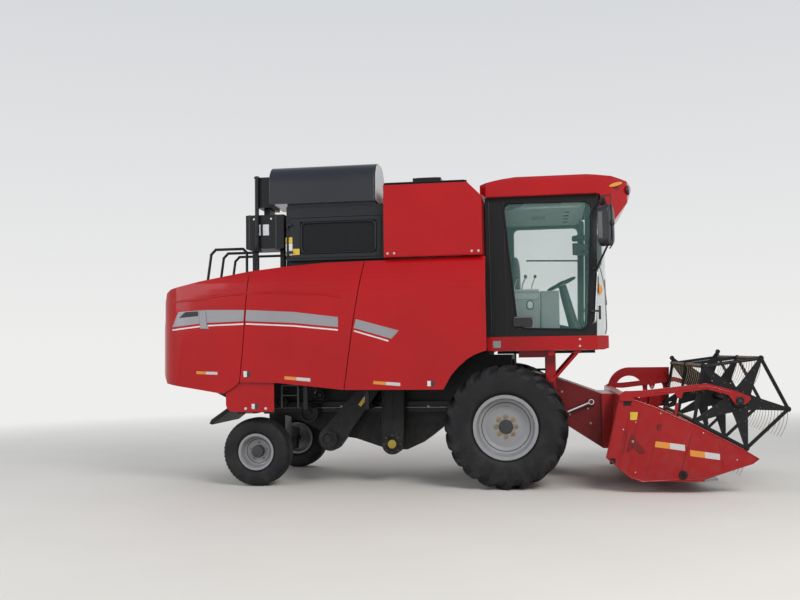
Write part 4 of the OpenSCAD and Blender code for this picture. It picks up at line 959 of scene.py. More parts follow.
class SideShields(ShieldSkin):
    """Stripes, reflectors, handles and seals of the shields, on both sides."""

    UPPER = [(-3.98, 2.160), (-3.656, 2.179), (-3.119, 2.168), (-2.515, 2.131), (-1.977, 2.059), (-1.775, 2.036),
             (-1.231, 1.883)]
    LOWER = [(-4.05, 1.977), (-3.643, 2.019), (-3.119, 2.033), (-2.516, 1.998), (-1.978, 1.939), (-1.776, 1.924),
             (-1.317, 1.785)]

    def stripes(self) -> None:
        """The silver stripe with the thin white line below it, cut at each shield's edge."""
        under, lower = ([(x, z - drop) for x, z in self.LOWER] for drop in (0.026, 0.044))
        runs = [("shield_rear_", (-3.99, -4.085), (-3.143, -3.152), 0.0),
                ("shield_mid_", (-3.116, -3.126), (-1.972, -1.972), 0.0),
                ("machine", (-1.752, -1.78), (-1.235, -1.325), 0.035)]
        for k, (body, start, end, trim) in enumerate(runs, 1):
            self.band(self.UPPER, self.LOWER, start, end).pair(f"stripe_{k}", Finish.STRIPE, body)
            line = self.band(under, lower, (start[1] + 0.005, start[1]), (end[1] - trim, end[1] - trim))
            line.pair(f"stripe_line_{k}", Finish.WHITE, body)

    def plates(self) -> None:
        """Orange and white strips near the shields' lower edges, and small blank signs."""
        share, proud = 0.47, 0.0015
        strips = [("shield_rear_", (-3.760, 1.395), (-3.491, 1.430), 0.012),
                  ("shield_mid_", (-2.645, 1.318), (-2.323, 1.358), 0.030),
                  ("machine", (-1.552, 1.252), (-1.228, 1.290), 0.026)]
        for k, (body, low, high, slant) in enumerate(strips, 1):
            middle, fall = low[0] + (high[0] - low[0]) * share, slant * share
            self.plate(low, (middle, high[1]), proud, fall).pair(f"reflector_orange_{k}", Finish.ORANGE, body)
            white = self.plate((middle, low[1] - fall), (high[0], high[1] - fall), proud, slant - fall)
            white.pair(f"reflector_white_{k}", Finish.SILVER_TAPE, body)
        signs = [("shield_mid_", -3.158, 1.352, 0.072), ("machine", -0.905, 1.222, 0.062)]
        for tone, finish, shift in (("light", Finish.WHITE, 0.0), ("dark", Finish.HUB, 0.043)):
            for k, (body, x, z, tall) in enumerate(signs, 1):
                plate = self.plate((x + shift, z), (x + shift + 0.042, z + tall), 0.0012)
                plate.pair(f"sign_{tone}_{k}", finish, body, slot="red_paint")
            x = -3.072 + min(shift, 0.042)
            panel((x, 0.962), (x + 0.040, 1.024), 0.003, 1.288, 1.2915).pair(
                f"skirt_sign_{tone}", finish, slot="red_paint")
        bolts([(-3.149, 1.29, 0.967), (-2.894, 1.29, 0.967)], 0.012, 0.006).pair("skirt_bolts", Finish.BRIGHT)

    def handle(self) -> None:
        """The rear shield's upright handle over the stripe, with a dark recess behind it."""
        body = "shield_rear_"
        recess = self.band([(-3.979, 2.090), (-3.90, 2.158), (-3.731, 2.163)], [(-3.979, 2.086), (-3.731, 2.106)],
                           (-3.978, -3.978), (-3.731, -3.731), 0.0024, 12)
        recess.pair("handle_recess", Finish.PLASTIC, body)
        bar = self.band([(-3.73, 2.172), (-3.60, 2.172)], [(-3.73, 1.948), (-3.60, 1.944)],
                        (-3.720, -3.702), (-3.636, -3.612), 0.014, 8)
        bar.pair("handle", Finish.STRIPE, body, slot="steel", bevel=0.006)
        foot = self.band([(-3.62, 1.985), (-3.58, 1.985)], [(-3.62, 1.944), (-3.58, 1.944)],
                         (-3.622, -3.616), (-3.600, -3.594), 0.009, 4)
        foot.pair("handle_tongue", Finish.STRIPE, body, slot="steel", bevel=0.003)

    def seals(self) -> None:
        """Rubber edging under the fixed shield and round the wheel arch."""
        arch = [(-0.718, 1.180), (-0.620, 1.350), (-0.525, 1.455), (-0.430, 1.535), (-0.334, 1.590), (-0.212, 1.634)]
        foot = [(-1.895, 1.186), (-1.5, 1.184), (-1.1, 1.182), (-0.722, 1.180)]
        for name, path in (("arch_edging", arch), ("foot_edging", foot)):
            self.edge(path, 0.012, -0.015).pair(name, Finish.SEAL)

    def crease(self) -> None:
        """The folded line that runs along the shoulder of the two opening shields, and fades at its ends."""
        rear = [(-4.071, 2.283), (-3.90, 2.292), (-3.707, 2.303), (-3.527, 2.336), (-3.30, 2.354), (-3.146, 2.361)]
        mid = [(-3.112, 2.370), (-2.83, 2.370), (-2.563, 2.362), (-2.190, 2.335), (-1.919, 2.293)]
        for k, (body, path) in enumerate((("shield_rear_", rear), ("shield_mid_", mid)), 1):
            x, line = curve_through(path, 6).T
            lift = 0.008 * np.minimum(1.0, np.linspace(0, 8, len(x))) * np.minimum(1.0, np.linspace(8, 0.5, len(x)))
            z = line + np.array([[0.022], [0.0], [-0.010]])
            out = np.stack([np.full(len(x), -0.001), lift, np.full(len(x), -0.001)])
            front = np.stack([np.broadcast_to(x, z.shape), self.skin(x, z) + out, z], -1)
            slab(front, front - (0, 0.012, 0)).pair(f"shoulder_fold_{k}", Finish.RED, body, sharp=1.2)

    def make(self) -> None:
        """Builds everything on the shields."""
        self.stripes()
        self.plates()
        self.handle()
        self.seals()
        self.crease()


class RearFace:
    """Lamps and plates on the rear cover."""

    def make(self) -> None:
        """Builds a lamp cluster each side and a blank plate."""
        rear, low, high = ShieldSkin.rear, 1.485, 1.585
        panel((0.73, 1.47), (0.93, 1.60), 0.02, rear + 0.005, rear + 0.03, "X").pair(
            "rear_lamp_case", Finish.PLASTIC, bevel=0.003)
        for k, (y, finish) in enumerate(((0.775, Finish.STOP), (0.875, Finish.AMBER)), 1):
            lens = panel((y - 0.042, low), (y + 0.042, high), 0.014, rear, rear + 0.02, "X")
            lens.pair(f"rear_lens_{k}", finish, bevel=0.003)
        plate = panel((-0.17, 1.46), (0.17, 1.60), 0.01, rear + 0.002, rear + 0.03, "X")
        plate.build("rear_blank_plate", Finish.WHITE)


# Upper works.


class GrainTank:
    """Seams, bolts and lid furniture of the grain tank."""

    def make(self) -> None:
        """Builds bolt heads in pairs, the foot seams, the filling box's cover and a lid handle."""
        low, high = -1.41, -0.23
        for side, y in ((Side.RIGHT, -1.30), (Side.LEFT, 1.0)):
            spots = [(x, y, 2.812) for x in (low + 0.045, low + 0.125, high - 0.125, high - 0.045)]
            bolts(spots, 0.010, 0.007, "Y", side.value).build(f"tank_bolts_{side.word}", Finish.BRIGHT)
            fold = y + side.value * 0.001
            seam = rod((low + 0.02, fold, 2.775), (high - 0.02, fold, 2.775), 0.006)
            seam.build(f"tank_seam_{side.word}", Finish.RED)
        grip = bent([(-0.93, 0.75, 3.662), (-0.93, 0.75, 3.70), (-0.79, 0.75, 3.70), (-0.79, 0.75, 3.662)], 0.02)
        pipe(grip, 0.007, 10).build("lid_handle_left", Finish.BRIGHT, "lid_left")
        cover = panel((-1.04, -1.225), (-0.735, -0.965), 0.05, 3.718, 3.726, "Z")
        cover.build("lid_box_cover", Finish.PLASTIC, "lid_right", bevel=0.003)


class EngineBay:
    """Hood, radiator screen, air cleaner and exhaust details."""

    def hood(self) -> None:
        """Bands and end cap of the round-topped hood: the outline is two quarter arcs and two straights. The end cap
        is pale as painted sunlight on the dark hood's front end.
        """
        y0, y1, foot, top, r = -1.25, -0.61, 3.49, 3.96, 0.24
        turn = np.linspace(0, TAU / 4, 9)
        cos, sin = r * np.cos(turn), r * np.sin(turn)
        outline = np.vstack([(y1, foot), np.column_stack([y1 - r + cos, top - r + sin]),
                             np.column_stack([y0 + r - sin, top - r + cos]), (y0, foot)])
        middle, shrink, drop = (-0.93, 3.66), 0.988, 0.0034
        inner = (outline - middle) * shrink + middle
        for k, x in enumerate((-2.845, -1.535), 1):
            band = pipe(placed(inner - (0, drop), x, "X"), 0.008)
            band.build(f"hood_band_{k}", Finish.PLASTIC, slot="black_paint")
        # The pale finish on the end cap paints the sunlight that falls on the hood's dark front end.
        prism(inner, -1.517, -1.5125, "X").build("hood_front_cap", Finish.PALE, slot="grey_paint")

    def screen(self) -> None:
        """Wire mesh in the screen door's recess with a rounded frame, and blank labels."""
        (x0, z0), (x1, z1), y, pitch = (-2.475, 2.85), (-1.52, 3.245), -1.163, 0.016
        wires = [rod((x, y, z0 + 0.005), (x, y, z1 - 0.005), 0.0018, 6)
                 for x in np.arange(x0 + 0.02, x1 - 0.01, pitch)]
        wires += [rod((x0 + 0.005, y + 0.003, z), (x1 - 0.005, y + 0.003, z), 0.0018, 6)
                  for z in np.arange(z0 + 0.015, z1 - 0.005, pitch)]
        joined(wires).build("radiator_mesh", Finish.GREY, "screen")
        ring = rounded((x0 + 0.012, z0 + 0.010), (x1 - 0.012, z1 - 0.010), 0.06, 7)
        pipe(placed(ring, -1.1745), 0.010, 8, True).build("screen_frame", Finish.GREY, "screen", slot="black_paint")
        spots = [(-1.49, -1.178, z) for z in (2.84, 3.05, 3.26)]
        bolts(spots, 0.007, 0.005, "Y", -1).build("screen_bolts", Finish.GREY, "screen", slot="steel")
        labels = [(-2.660, 2.985, 3.062, Finish.YELLOW), (-2.660, 2.838, 2.983, Finish.WHITE),
                  (-2.570, 2.842, 2.918, Finish.YELLOW)]
        for k, (x, bottom, top, finish) in enumerate(labels, 1):
            label = panel((x, bottom), (x + 0.084, top), 0.004, -1.1795, -1.177)
            label.build(f"blank_label_{k}", finish, "screen", slot="plastic")

    def core(self) -> None:
        """Radiator core behind the screen door: upright tubes and cross bars in a frame with side tanks."""
        outer, inner = rounded((-2.60, 2.845), (-1.475, 3.28), 0.012), rounded((-2.53, 2.875), (-1.545, 3.25), 0.012)
        framed(outer, inner, -0.920, -0.8985).build("core_frame", Finish.HUB, slot="grey_paint", bevel=0.002)
        tubes = [rod((x, -0.9035, 2.86), (x, -0.9035, 3.265), 0.0045, 6) for x in np.arange(-2.52, -1.55, 0.017)]
        tubes += [rod((-2.54, -0.909, z), (-1.535, -0.909, z), 0.003, 6) for z in np.arange(2.90, 3.25, 0.055)]
        joined(tubes).build("core_tubes", Finish.RAIL)

    def cleaner(self) -> None:
        """Ribs, straps, blank plates and rain cap of the air cleaner and its pipe, and slots of the box beside it."""
        straps = [box((x - 0.010, -1.2035, 2.926), (x + 0.010, -0.80, 3.354)) for x in (-3.12, -2.78)]
        joined(straps).build("cleaner_straps", Finish.PLASTIC, slot="steel", bevel=0.002)
        for k, (low, high) in enumerate(((-3.020, -2.975), (-2.945, -2.868)), 1):
            panel((low, 3.095), (high, 3.230), 0.004, -1.2035, -1.198).build(f"cleaner_plate_{k}", Finish.PALE)
        spots = [(-3.06, -1.201, 3.30), (-2.84, -1.201, 3.30)]
        bolts(spots, 0.009, 0.005, "Y", -1).build("cleaner_bolts", Finish.BRIGHT)
        ribs = [box((-3.166, -1.15, z), (-3.158, -0.80, z + 0.012)) for z in np.arange(2.97, 3.32, 0.05)]
        joined(ribs).build("cleaner_ribs", Finish.PLASTIC)
        cap = [(0, 3.80), (0, 3.832), (0.020, 3.83), (0.034, 3.82), (0.036, 3.806), (0.030, 3.80)]
        lathe(cap, (-3.01, -1.235, 0), "Z", 24).build("pipe_cap", Finish.PLASTIC)
        slots = [panel((-2.99, z), (-2.88, z + 0.012), 0.004, -1.2075, -1.20) for z in np.arange(3.50, 3.78, 0.03)]
        joined(slots).build("end_box_slots", Finish.BLACK)

    def engine(self) -> None:
        """Rocker covers, manifold, sump and pulleys of the engine block."""
        pitch = 0.22
        covers = [panel((x, -0.12), (x + 0.17, 0.12), 0.03, 3.12, 3.165, "Z") for x in np.arange(-2.66, -1.80, pitch)]
        joined(covers).build("rocker_covers", Finish.ENGINE, bevel=0.006)
        pipes = [pipe(bent([(x, 0.328, 3.02), (x, 0.40, 3.02), (x, 0.42, 2.93)], 0.03), 0.026, 12)
                 for x in np.arange(-2.60, -1.80, pitch)]
        pipes.append(rod((-2.68, 0.42, 2.92), (-1.75, 0.42, 2.92), 0.045, 16))
        pipes.append(pipe(bent([(-2.66, 0.42, 2.92), (-2.86, 0.42, 2.92), (-2.86, 0.42, 3.72)], 0.10), 0.042, 16))
        joined(pipes).build("exhaust", Finish.SPRING)
        sump = prism([(-2.68, 2.50), (-1.76, 2.50), (-1.80, 2.452), (-2.40, 2.452), (-2.64, 2.46)], -0.22, 0.22)
        sump.build("engine_sump", Finish.ENGINE, bevel=0.01)
        wheels = [lathe([(0, back), (0, -0.334), (r, -0.334), (r, back)], (x, 0, z), steps=steps)
                  for r, back, x, z, steps in ((0.13, -0.35, -2.2, 2.86, 32), (0.07, -0.36, -2.45, 2.66, 28))]
        joined(wheels).build("engine_pulleys", Finish.BRIGHT)

    def deck(self) -> None:
        """Tread bars of the deck and feet of the handrails."""
        bars = [box((x, -0.98, 2.4005), (x + 0.02, 0.40, 2.406)) for x in np.arange(-3.70, -2.80, 0.06)]
        joined(bars).build("deck_tread", Finish.STEEL)
        feet = [lathe([(0.018, 0), (0.018, 0.008), (0.040, 0.008), (0.042, 0.0)], (x, y, 2.4005), "Z")
                for y in (-1.0, -0.54, -0.08) for x in (-3.762, -3.22 if y < -0.3 else -2.95)]
        joined(feet).build("rail_feet", Finish.BLACK)

    def make(self) -> None:
        """Builds all parts of the bay."""
        self.hood()
        self.screen()
        self.core()
        self.cleaner()
        self.engine()
        self.deck()


@dataclass(frozen=True)
class Cab:
    """Glass seals, lamps, seat, console, wheel and mirrors of the cab."""

    floor: float = 1.795
    console: float = 2.355
    window: tuple[tuple[float, float], ...] = ((0.150, 1.895), (0.995, 1.864), (1.074, 3.422), (0.0, 3.436))

    def gasket(self) -> None:
        """Rubber round the windows, folds of the pillars, and the right window's visor and handle box."""
        p = np.array(self.window)
        start = (p[0] + p[1]) / 2
        loop = bent([start, p[1], p[2], p[3], p[0], start], 0.11, 9)[:-1]
        pipe(placed(loop, -0.866), 0.013, 8, True).build("window_gasket", Finish.SEAL)
        fillets = []
        for corner in p:
            toward = p.mean(0) - corner
            toward /= np.linalg.norm(toward)
            a, across = corner + toward * 0.055, np.array([-toward[1], toward[0]]) * 0.052
            fillets.append(prism([corner - toward * 0.01, a + across, a - across], -0.868, -0.852))
        joined(fillets).build("window_corners", Finish.SEAL)
        visor = [(-0.004, 3.432), (0.262, 3.428), (0.240, 3.392), (0.075, 3.345), (0.004, 3.352)]
        prism(visor, -0.8505, -0.846).build("window_visor", Finish.PLASTIC)
        panel((0.095, 1.912), (0.345, 2.038), 0.035, -0.894, -0.8675).build(
            "cab_handle_box", Finish.PLASTIC, bevel=0.006)
        lip = bent([(0.12, -0.893, 2.03), (0.325, -0.893, 2.03), (0.340, -0.893, 1.99), (0.335, -0.893, 1.92)], 0.03)
        pipe(lip, 0.004).build("cab_handle_lip", Finish.TRIM)
        for x, wide in ((-0.165, 6), (0.02, 4)):
            fold = rod((x, -0.8695, 1.83), (x - 0.01, -0.8695, 3.46), wide / 1000)
            fold.build(f"pillar_fold_{wide}", Finish.PLASTIC, slot="black_paint")
        rear = bent([(-0.62, 2.45), (0.62, 2.45), (0.62, 3.35), (-0.62, 3.35), (-0.62, 2.45)], 0.05)[:-1]
        pipe(placed(rear, -0.212, "X"), 0.009, 8, True).build("rear_window_gasket", Finish.SEAL)

    def lamps(self) -> None:
        """Work lamps in the roof's nose: four round ones below its edge and one above each front corner."""
        nose = math.atan2(1.575 - 1.350, 3.60 - 3.195)
        case = lathe([(0, 0.014), (0.050, 0.014), (0.060, 0.008), (0.062, -0.02), (0, -0.02)], axis="X", steps=28)
        lens = lathe([(0, 0.017), (0.020, 0.0165), (0.046, 0.013), (0.048, 0.0), (0, 0.0)], axis="X", steps=28)
        spots = [(nose, 1.462, y, 3.42) for y in (-0.66, -0.42, 0.42, 0.66)]
        spots += [(-0.1, 1.508, y, 3.555) for y in (-0.73, 0.73)]
        for k, (tilt, *place) in enumerate(spots, 1):
            for name, form, finish in (("case", case, Finish.PLASTIC), ("lens", lens, Finish.CLEAR)):
                form.turned(tilt, "Y").moved(*place).build(f"work_lamp_{name}_{k}", finish, slot="glass")

    def roof(self) -> None:
        """Amber markers, gutters, a headliner with its grille, and air nozzles."""
        turn = np.linspace(0, TAU, 24, endpoint=False)
        middle = (1.355, 3.596)
        leaf = np.column_stack([0.078 * np.cos(turn), 0.024 * np.sin(turn) + 0.018 * np.cos(turn)])
        prism(leaf + middle, 0.925, 0.951).pair("roof_marker", Finish.AMBER, bevel=0.004)
        prism(leaf * 1.14 + middle, 0.925, 0.9485).pair("roof_marker_rim", Finish.DARK_RED)
        gutter = curve_through([(-0.19, 3.513), (0.3, 3.510), (0.8, 3.510), (1.13, 3.507)], 5)
        pipe(placed(gutter, 0.949), 0.007).pair("roof_gutter", Finish.RED)
        liner = prism([(-0.14, 3.36), (0.92, 3.36), (1.00, 3.40), (1.03, 3.4995), (-0.14, 3.4995)], -0.80, 0.80)
        liner.build("headliner", Finish.LINER, bevel=0.012)
        grille = [panel((x, -0.14), (x + 0.012, 0.14), 0.005, 3.356, 3.362, "Z") for x in np.arange(0.34, 0.52, 0.03)]
        joined(grille).build("headliner_grille", Finish.PLASTIC)
        panel((0.24, 3.385), (0.72, 3.465), 0.03, -0.8035, -0.79).build("headliner_panel", Finish.TRIM, bevel=0.002)
        nozzle = [(0.0, 0), (0.03, 0), (0.036, -0.008), (0.02, -0.014), (0, -0.014)]
        joined(lathe(nozzle, (0.78, y, 3.36), "Z") for y in (-0.45, -0.15, 0.15, 0.45)).build(
            "air_nozzles", Finish.PLASTIC)

    @staticmethod
    def cushion(low: Place, high: Place, up: str) -> Form:
        """A rounded pad between two corners: a superellipse in its broad face, crowned towards the middle."""
        u, v = np.linspace(0, TAU, 40, endpoint=False), np.linspace(-TAU / 4, TAU / 4, 13)
        across, along = (np.sign(w) * np.abs(w) ** 0.32 for w in (np.cos(u), np.sin(u)))
        shrink, rise = np.cos(v) ** 0.45, np.sign(np.sin(v)) * np.abs(np.sin(v)) ** 0.75
        a, b = np.outer(shrink, across), np.outer(shrink, along)
        c = rise[:, None] * (1 - 0.35 * (a ** 2 + b ** 2) / 2)
        half, middle = (np.asarray(high) - low) / 2, (np.asarray(high) + low) / 2
        return loft((np.stack({"Z": (a, b, c), "X": (c, b, a)}[up], -1) * half + middle)[1:-1])

    def seat(self) -> None:
        """Crowned cushion and back that stand for the plain seat, with a suspension base."""
        z = self.floor
        pad = self.cushion((0.10, -0.255, z + 0.235), (0.575, 0.255, z + 0.355), "Z")
        bottom = pad.build("seat_cushion", Finish.SEAT, sharp=3.1, replaces=["seat"])
        back = self.cushion((0.065, -0.245, z + 0.36), (0.175, 0.245, z + 1.045), "X")
        back.build("seat_back", Finish.SEAT, "machine", slot="cloth", sharp=3.1)
        seams = [pipe([(0.13, y, z + 0.357), (0.35, y, z + 0.3585), (0.54, y, z + 0.355)], 0.004, 6)
                 for y in (-0.10, 0.10)]
        joined(seams).build("seat_seams", Finish.SEAL, slot="cloth")
        base = [lathe([(0, h), (0, h + 0.04), (0.17, h + 0.04), (0.20, h + 0.02), (0.17, h)], (0.32, 0, 0), "Z", 28)
                for h in np.arange(z + 0.03, z + 0.20, 0.04)]
        base.append(panel((0.125, -0.225), (0.515, 0.225), 0.03, z + 0.0005, z + 0.035, "Z"))
        base.append(panel((0.11, -0.245), (0.56, 0.245), 0.05, z + 0.20, z + 0.236, "Z"))
        joined(base).build("seat_base", Finish.PLASTIC, bevel=0.003)

    def console_parts(self) -> None:
        """Console lid, side case, levers with knobs, and the panels on the console's side."""
        top = self.console
        # The console top's pale liner paints the highlight along the armrest.
        flat = [("console_top", (-0.055, -0.635), (0.415, -0.305), 0.04, top, top + 0.030, "Z", Finish.LINER, 0.008),
                ("side_case", (0.425, -0.60), (0.66, -0.34), 0.03, 1.8035, 2.362, "Z", Finish.TRIM, 0.010),
                ("console_ring", (0.257, 2.130), (0.349, 2.246), 0.040, -0.6445, -0.638, "Y", Finish.PLASTIC, 0.002),
                ("console_handle", (0.270, 2.143), (0.336, 2.233), 0.030, -0.6475, -0.640, "Y", Finish.PALE, 0.003),
                ("console_fold", (-0.03, 2.26), (0.40, 2.33), 0.02, -0.646, -0.638, "Y", Finish.LINER, 0.004)]
        for name, low, high, radius, near, far, axis, finish, bevel in flat:
            panel(low, high, radius, near, far, axis).build(name, finish, slot="console", bevel=bevel)
        places = ((0.10, -0.40), (0.20, -0.52), (0.20, -0.40), (0.32, -0.46))
        levers = [pipe(bent([(x, y, top), (x + 0.01, y, top + 0.10), (x + 0.05, y, top + 0.19)], 0.05), 0.007)
                  for x, y in places]
        joined(levers).build("levers", Finish.BRIGHT)
        knob = [(0, -0.022), (0.013, -0.018), (0.021, 0.0), (0.013, 0.018), (0, 0.022)]
        knobs = joined(lathe(knob, (x + 0.05, y, top + 0.20), "Z", 18) for x, y in places)
        knobs.build("lever_knobs", Finish.PLASTIC)

    def cockpit(self) -> None:
        """Screen, pedals, mat, steering wheel and column, door bar and inner mirror."""
        screen = panel((-0.11, 2.80), (0.11, 2.95), 0.015, -0.015, 0.015, "X").turned(math.radians(-50), "Z")
        screen.moved(0.93, -0.50).build("monitor", Finish.PLASTIC, bevel=0.004)
        stalk = pipe(bent([(0.95, -0.49, 2.86), (1.02, -0.52, 2.86), (1.065, -0.55, 2.82)], 0.03), 0.011, 10)
        stalk.build("monitor_arm", Finish.PLASTIC)
        feet = (-0.32, -0.19, 0.19)
        pedals = [panel((y - 0.045, 1.87), (y + 0.045, 1.98), 0.012, 0.96, 0.975, "X") for y in feet]
        pedals += [rod((0.97, y, 1.92), (1.03, y, 1.85), 0.010) for y in feet]
        joined(pedals).build("pedals", Finish.SEAL, bevel=0.003)
        panel((0.58, -0.78), (1.02, 0.78), 0.05, 1.7955, 1.803, "Z").build("floor_mat", Finish.SEAL)
        hub = lathe([(0, 0.0), (0, 0.035), (0.045, 0.03), (0.06, 0.012), (0.06, 0.0)], axis="Z", steps=28)
        grip = pipe(placed(disc_outline((0, 0), 0.185, 48), -0.0005, "Z"), 0.0165, 12, True)
        for name, form, finish in (("hub", hub, Finish.PLASTIC), ("grip", grip, Finish.SEAL)):
            form.turned(math.radians(-25), "Y").moved(0.70, 0, 2.485).build(f"steering_{name}", finish)
        column = pipe([(0.862, 0, 1.878), (0.84, 0, 1.96), (0.742, 0, 2.33), (0.712, 0, 2.46)],
                      np.array([0.085, 0.066, 0.058, 0.05]), 20)
        column.build("column_cover", Finish.PLASTIC)
        bar = bent([(0.246, 0.845, 2.88), (0.246, 0.81, 2.88), (0.934, 0.81, 2.86), (0.934, 0.845, 2.86)], 0.03)
        pipe(bar, 0.011, 10).build("door_bar", Finish.PLASTIC, "door")
        glass = panel((0.30, 3.085), (0.50, 3.165), 0.03, 0.0, 0.03, "X").turned(math.radians(55), "Z", (0, 0.40, 0))
        stem = pipe(bent([(0.012, 0.40, 3.15), (0.03, 0.40, 3.30), (0.03, 0.40, 3.37)], 0.05), 0.008)
        (glass + stem).moved(0.94).build("inner_mirror", Finish.PLASTIC)

    def door(self) -> None:
        """The left door in its CAD place: a frame round a large pane, hinge eyes, a pull handle and its seal."""
        outer = corners_rounded([(-0.054, 1.831), (1.004, 1.831), (1.042, 3.424), (-0.054, 3.424)], 0.05)
        inner = corners_rounded([(0.060, 2.115), (0.930, 1.915), (0.960, 3.330), (0.060, 3.330)], 0.09)
        framed(outer, inner, 0.827, 0.878).build("door_frame", Finish.BLACK, "door", bevel=0.004,
                                                 replaces=["cab_door"])
        middle = inner.mean(0)
        pane = prism((inner - middle) * 1.004 + middle, 0.850, 0.856)
        pane.build("door_pane", Finish.GLASS, "door", smooth=False)
        pipe(placed(inner, 0.878), 0.010, 8, True).build("door_gasket", Finish.SEAL, "door")
        near, far, low, high = 0.874, 0.903, 2.400, 2.545
        grip = placed(bent([(near, low), (far, low), (far, high), (near, high)], 0.02), 0.026, "X")
        base = panel((0.010, 2.380), (0.050, 2.565), 0.015, 0.876, 0.884)
        (pipe(grip, 0.008, 10) + base).build("door_handle", Finish.PLASTIC, "door", bevel=0.002)
        eyes = []
        for z in (2.150, 3.150):
            eye = [(0.0076, z), (0.0076, z + 0.040), (0.013, z + 0.040), (0.013, z)]
            eyes += [lathe(eye, (1.056, 0.888, 0), "Z", 28), box((0.960, 0.876, z), (1.045, 0.896, z + 0.040))]
        joined(eyes).build("door_hinge_eyes", Finish.BLACK, "door")

    def mirrors(self) -> None:
        """Deep shell, glass, rim, clamp and front tube of the outside mirrors.

        The shell carries the head's outline backwards and forwards, and its front closes as a superellipse does.
        """
        turn = math.radians(29)
        place = (1.200, 1.475 - 0.09 * math.cos(turn) - 0.06 * math.sin(turn), 3.05)
        ends = np.linspace(0, TAU / 2, 13)
        upper = np.column_stack([np.cos(ends), 0.15 / 0.09 + np.sin(ends)]) * 0.09
        outline = np.vstack([upper, -upper])
        v = np.linspace(0, TAU / 4, 7)[:-1]
        depth = np.concatenate([[-0.060, -0.054, 0.0], 0.0603 + 0.016 * np.sin(v)])
        size = np.concatenate([[0.93, 0.99, 1.0], np.cos(v) ** 0.6])
        shell = loft(np.stack([placed(outline * s, x, "X") for x, s in zip(depth, size)]))
        glass = prism(outline * (0.86, 0.93), -0.0625, -0.058, "X")
        rim = pipe(placed(outline * (0.92, 0.965), -0.060, "X"), 0.005, 8, True)
        for name, form, finish in (("shell", shell, Finish.HOOD), ("glass", glass, Finish.MIRROR),
                                   ("rim", rim, Finish.PLASTIC)):
            form.turned(turn, "Z").moved(*place).pair(f"mirror_{name}", finish, slot="glass")
        tube = pipe(bent([(1.150, 1.330, 3.33), (1.162, 1.345, 3.40), (1.262, 1.405, 3.40), (1.272, 1.415, 2.83),
                          (1.235, 1.385, 2.78)], 0.03), 0.0075, 10)
        clamp = lathe([(0, -0.030), (0.022, -0.024), (0.032, 0.0), (0.022, 0.024), (0, 0.030)],
                      (1.268, 1.412, 3.07), "X")
        (tube + clamp).pair("mirror_tube", Finish.PLASTIC, slot="black_paint")

    def outside(self) -> None:
        """Wiper, floor sign and bolts, grab rail and side lamp."""
        rail = bent([(1.100, -0.872, 2.575), (1.122, -0.905, 2.56), (1.078, -0.905, 1.96),
                     (1.050, -0.872, 1.94)], 0.03)
        pipe(rail, 0.013, 12).build("front_grab_rail", Finish.BRIGHT)
        clamps = (((1.062, -0.922, 2.583), (1.128, -0.872, 2.613)), ((1.030, -0.922, 2.075), (1.120, -0.872, 2.099)),
                  ((1.118, -0.915, 1.985), (1.146, -0.890, 2.15)))
        joined(box(*corners) for corners in clamps).build("rail_clamps", Finish.PLASTIC, bevel=0.004)
        box((1.112, -0.925, 2.30), (1.128, -0.885, 2.50)).build("side_lamp_case", Finish.PLASTIC, bevel=0.004)
        turn = np.linspace(-TAU / 4, TAU / 4, 13)
        leaf = np.column_stack([1.125 + 0.044 * np.cos(turn), 2.342 + 0.066 * np.sin(turn)])
        prism(leaf, -0.932, -0.880).build("side_lamp_lens", Finish.AMBER, bevel=0.006)
        arm = bent([(1.245, 0.0, 1.83), (1.263, 0.02, 1.90), (1.270, 0.30, 2.55)], 0.05)
        pipe(arm, 0.008).build("wiper_arm", Finish.PLASTIC)
        y = np.linspace(-0.02, 0.62, 9)
        screen = -0.968 + np.sqrt(2.23 ** 2 - y ** 2) + 0.006
        pipe(np.column_stack([screen, y, 2.20 + (y + 0.02) * 1.1]), 0.006).build("wiper_blade", Finish.SEAL)
        panel((-0.148, 1.664), (-0.056, 1.746), 0.003, -0.8715, -0.869).build("blank_floor_sign", Finish.TRIM)
        heads = bolts([(0.892, -0.870, 1.753), (0.890, -0.870, 1.672)], 0.009, 0.006, "Y", -1)
        (heads + heads.mirrored()).build("floor_bolts", Finish.BRIGHT)

    def make(self) -> None:
        """Builds all parts of the cab."""
        self.gasket()
        self.lamps()
        self.roof()
        self.seat()
        self.console_parts()
        self.cockpit()
        self.door()
        self.mirrors()
        self.outside()


# Front gear.


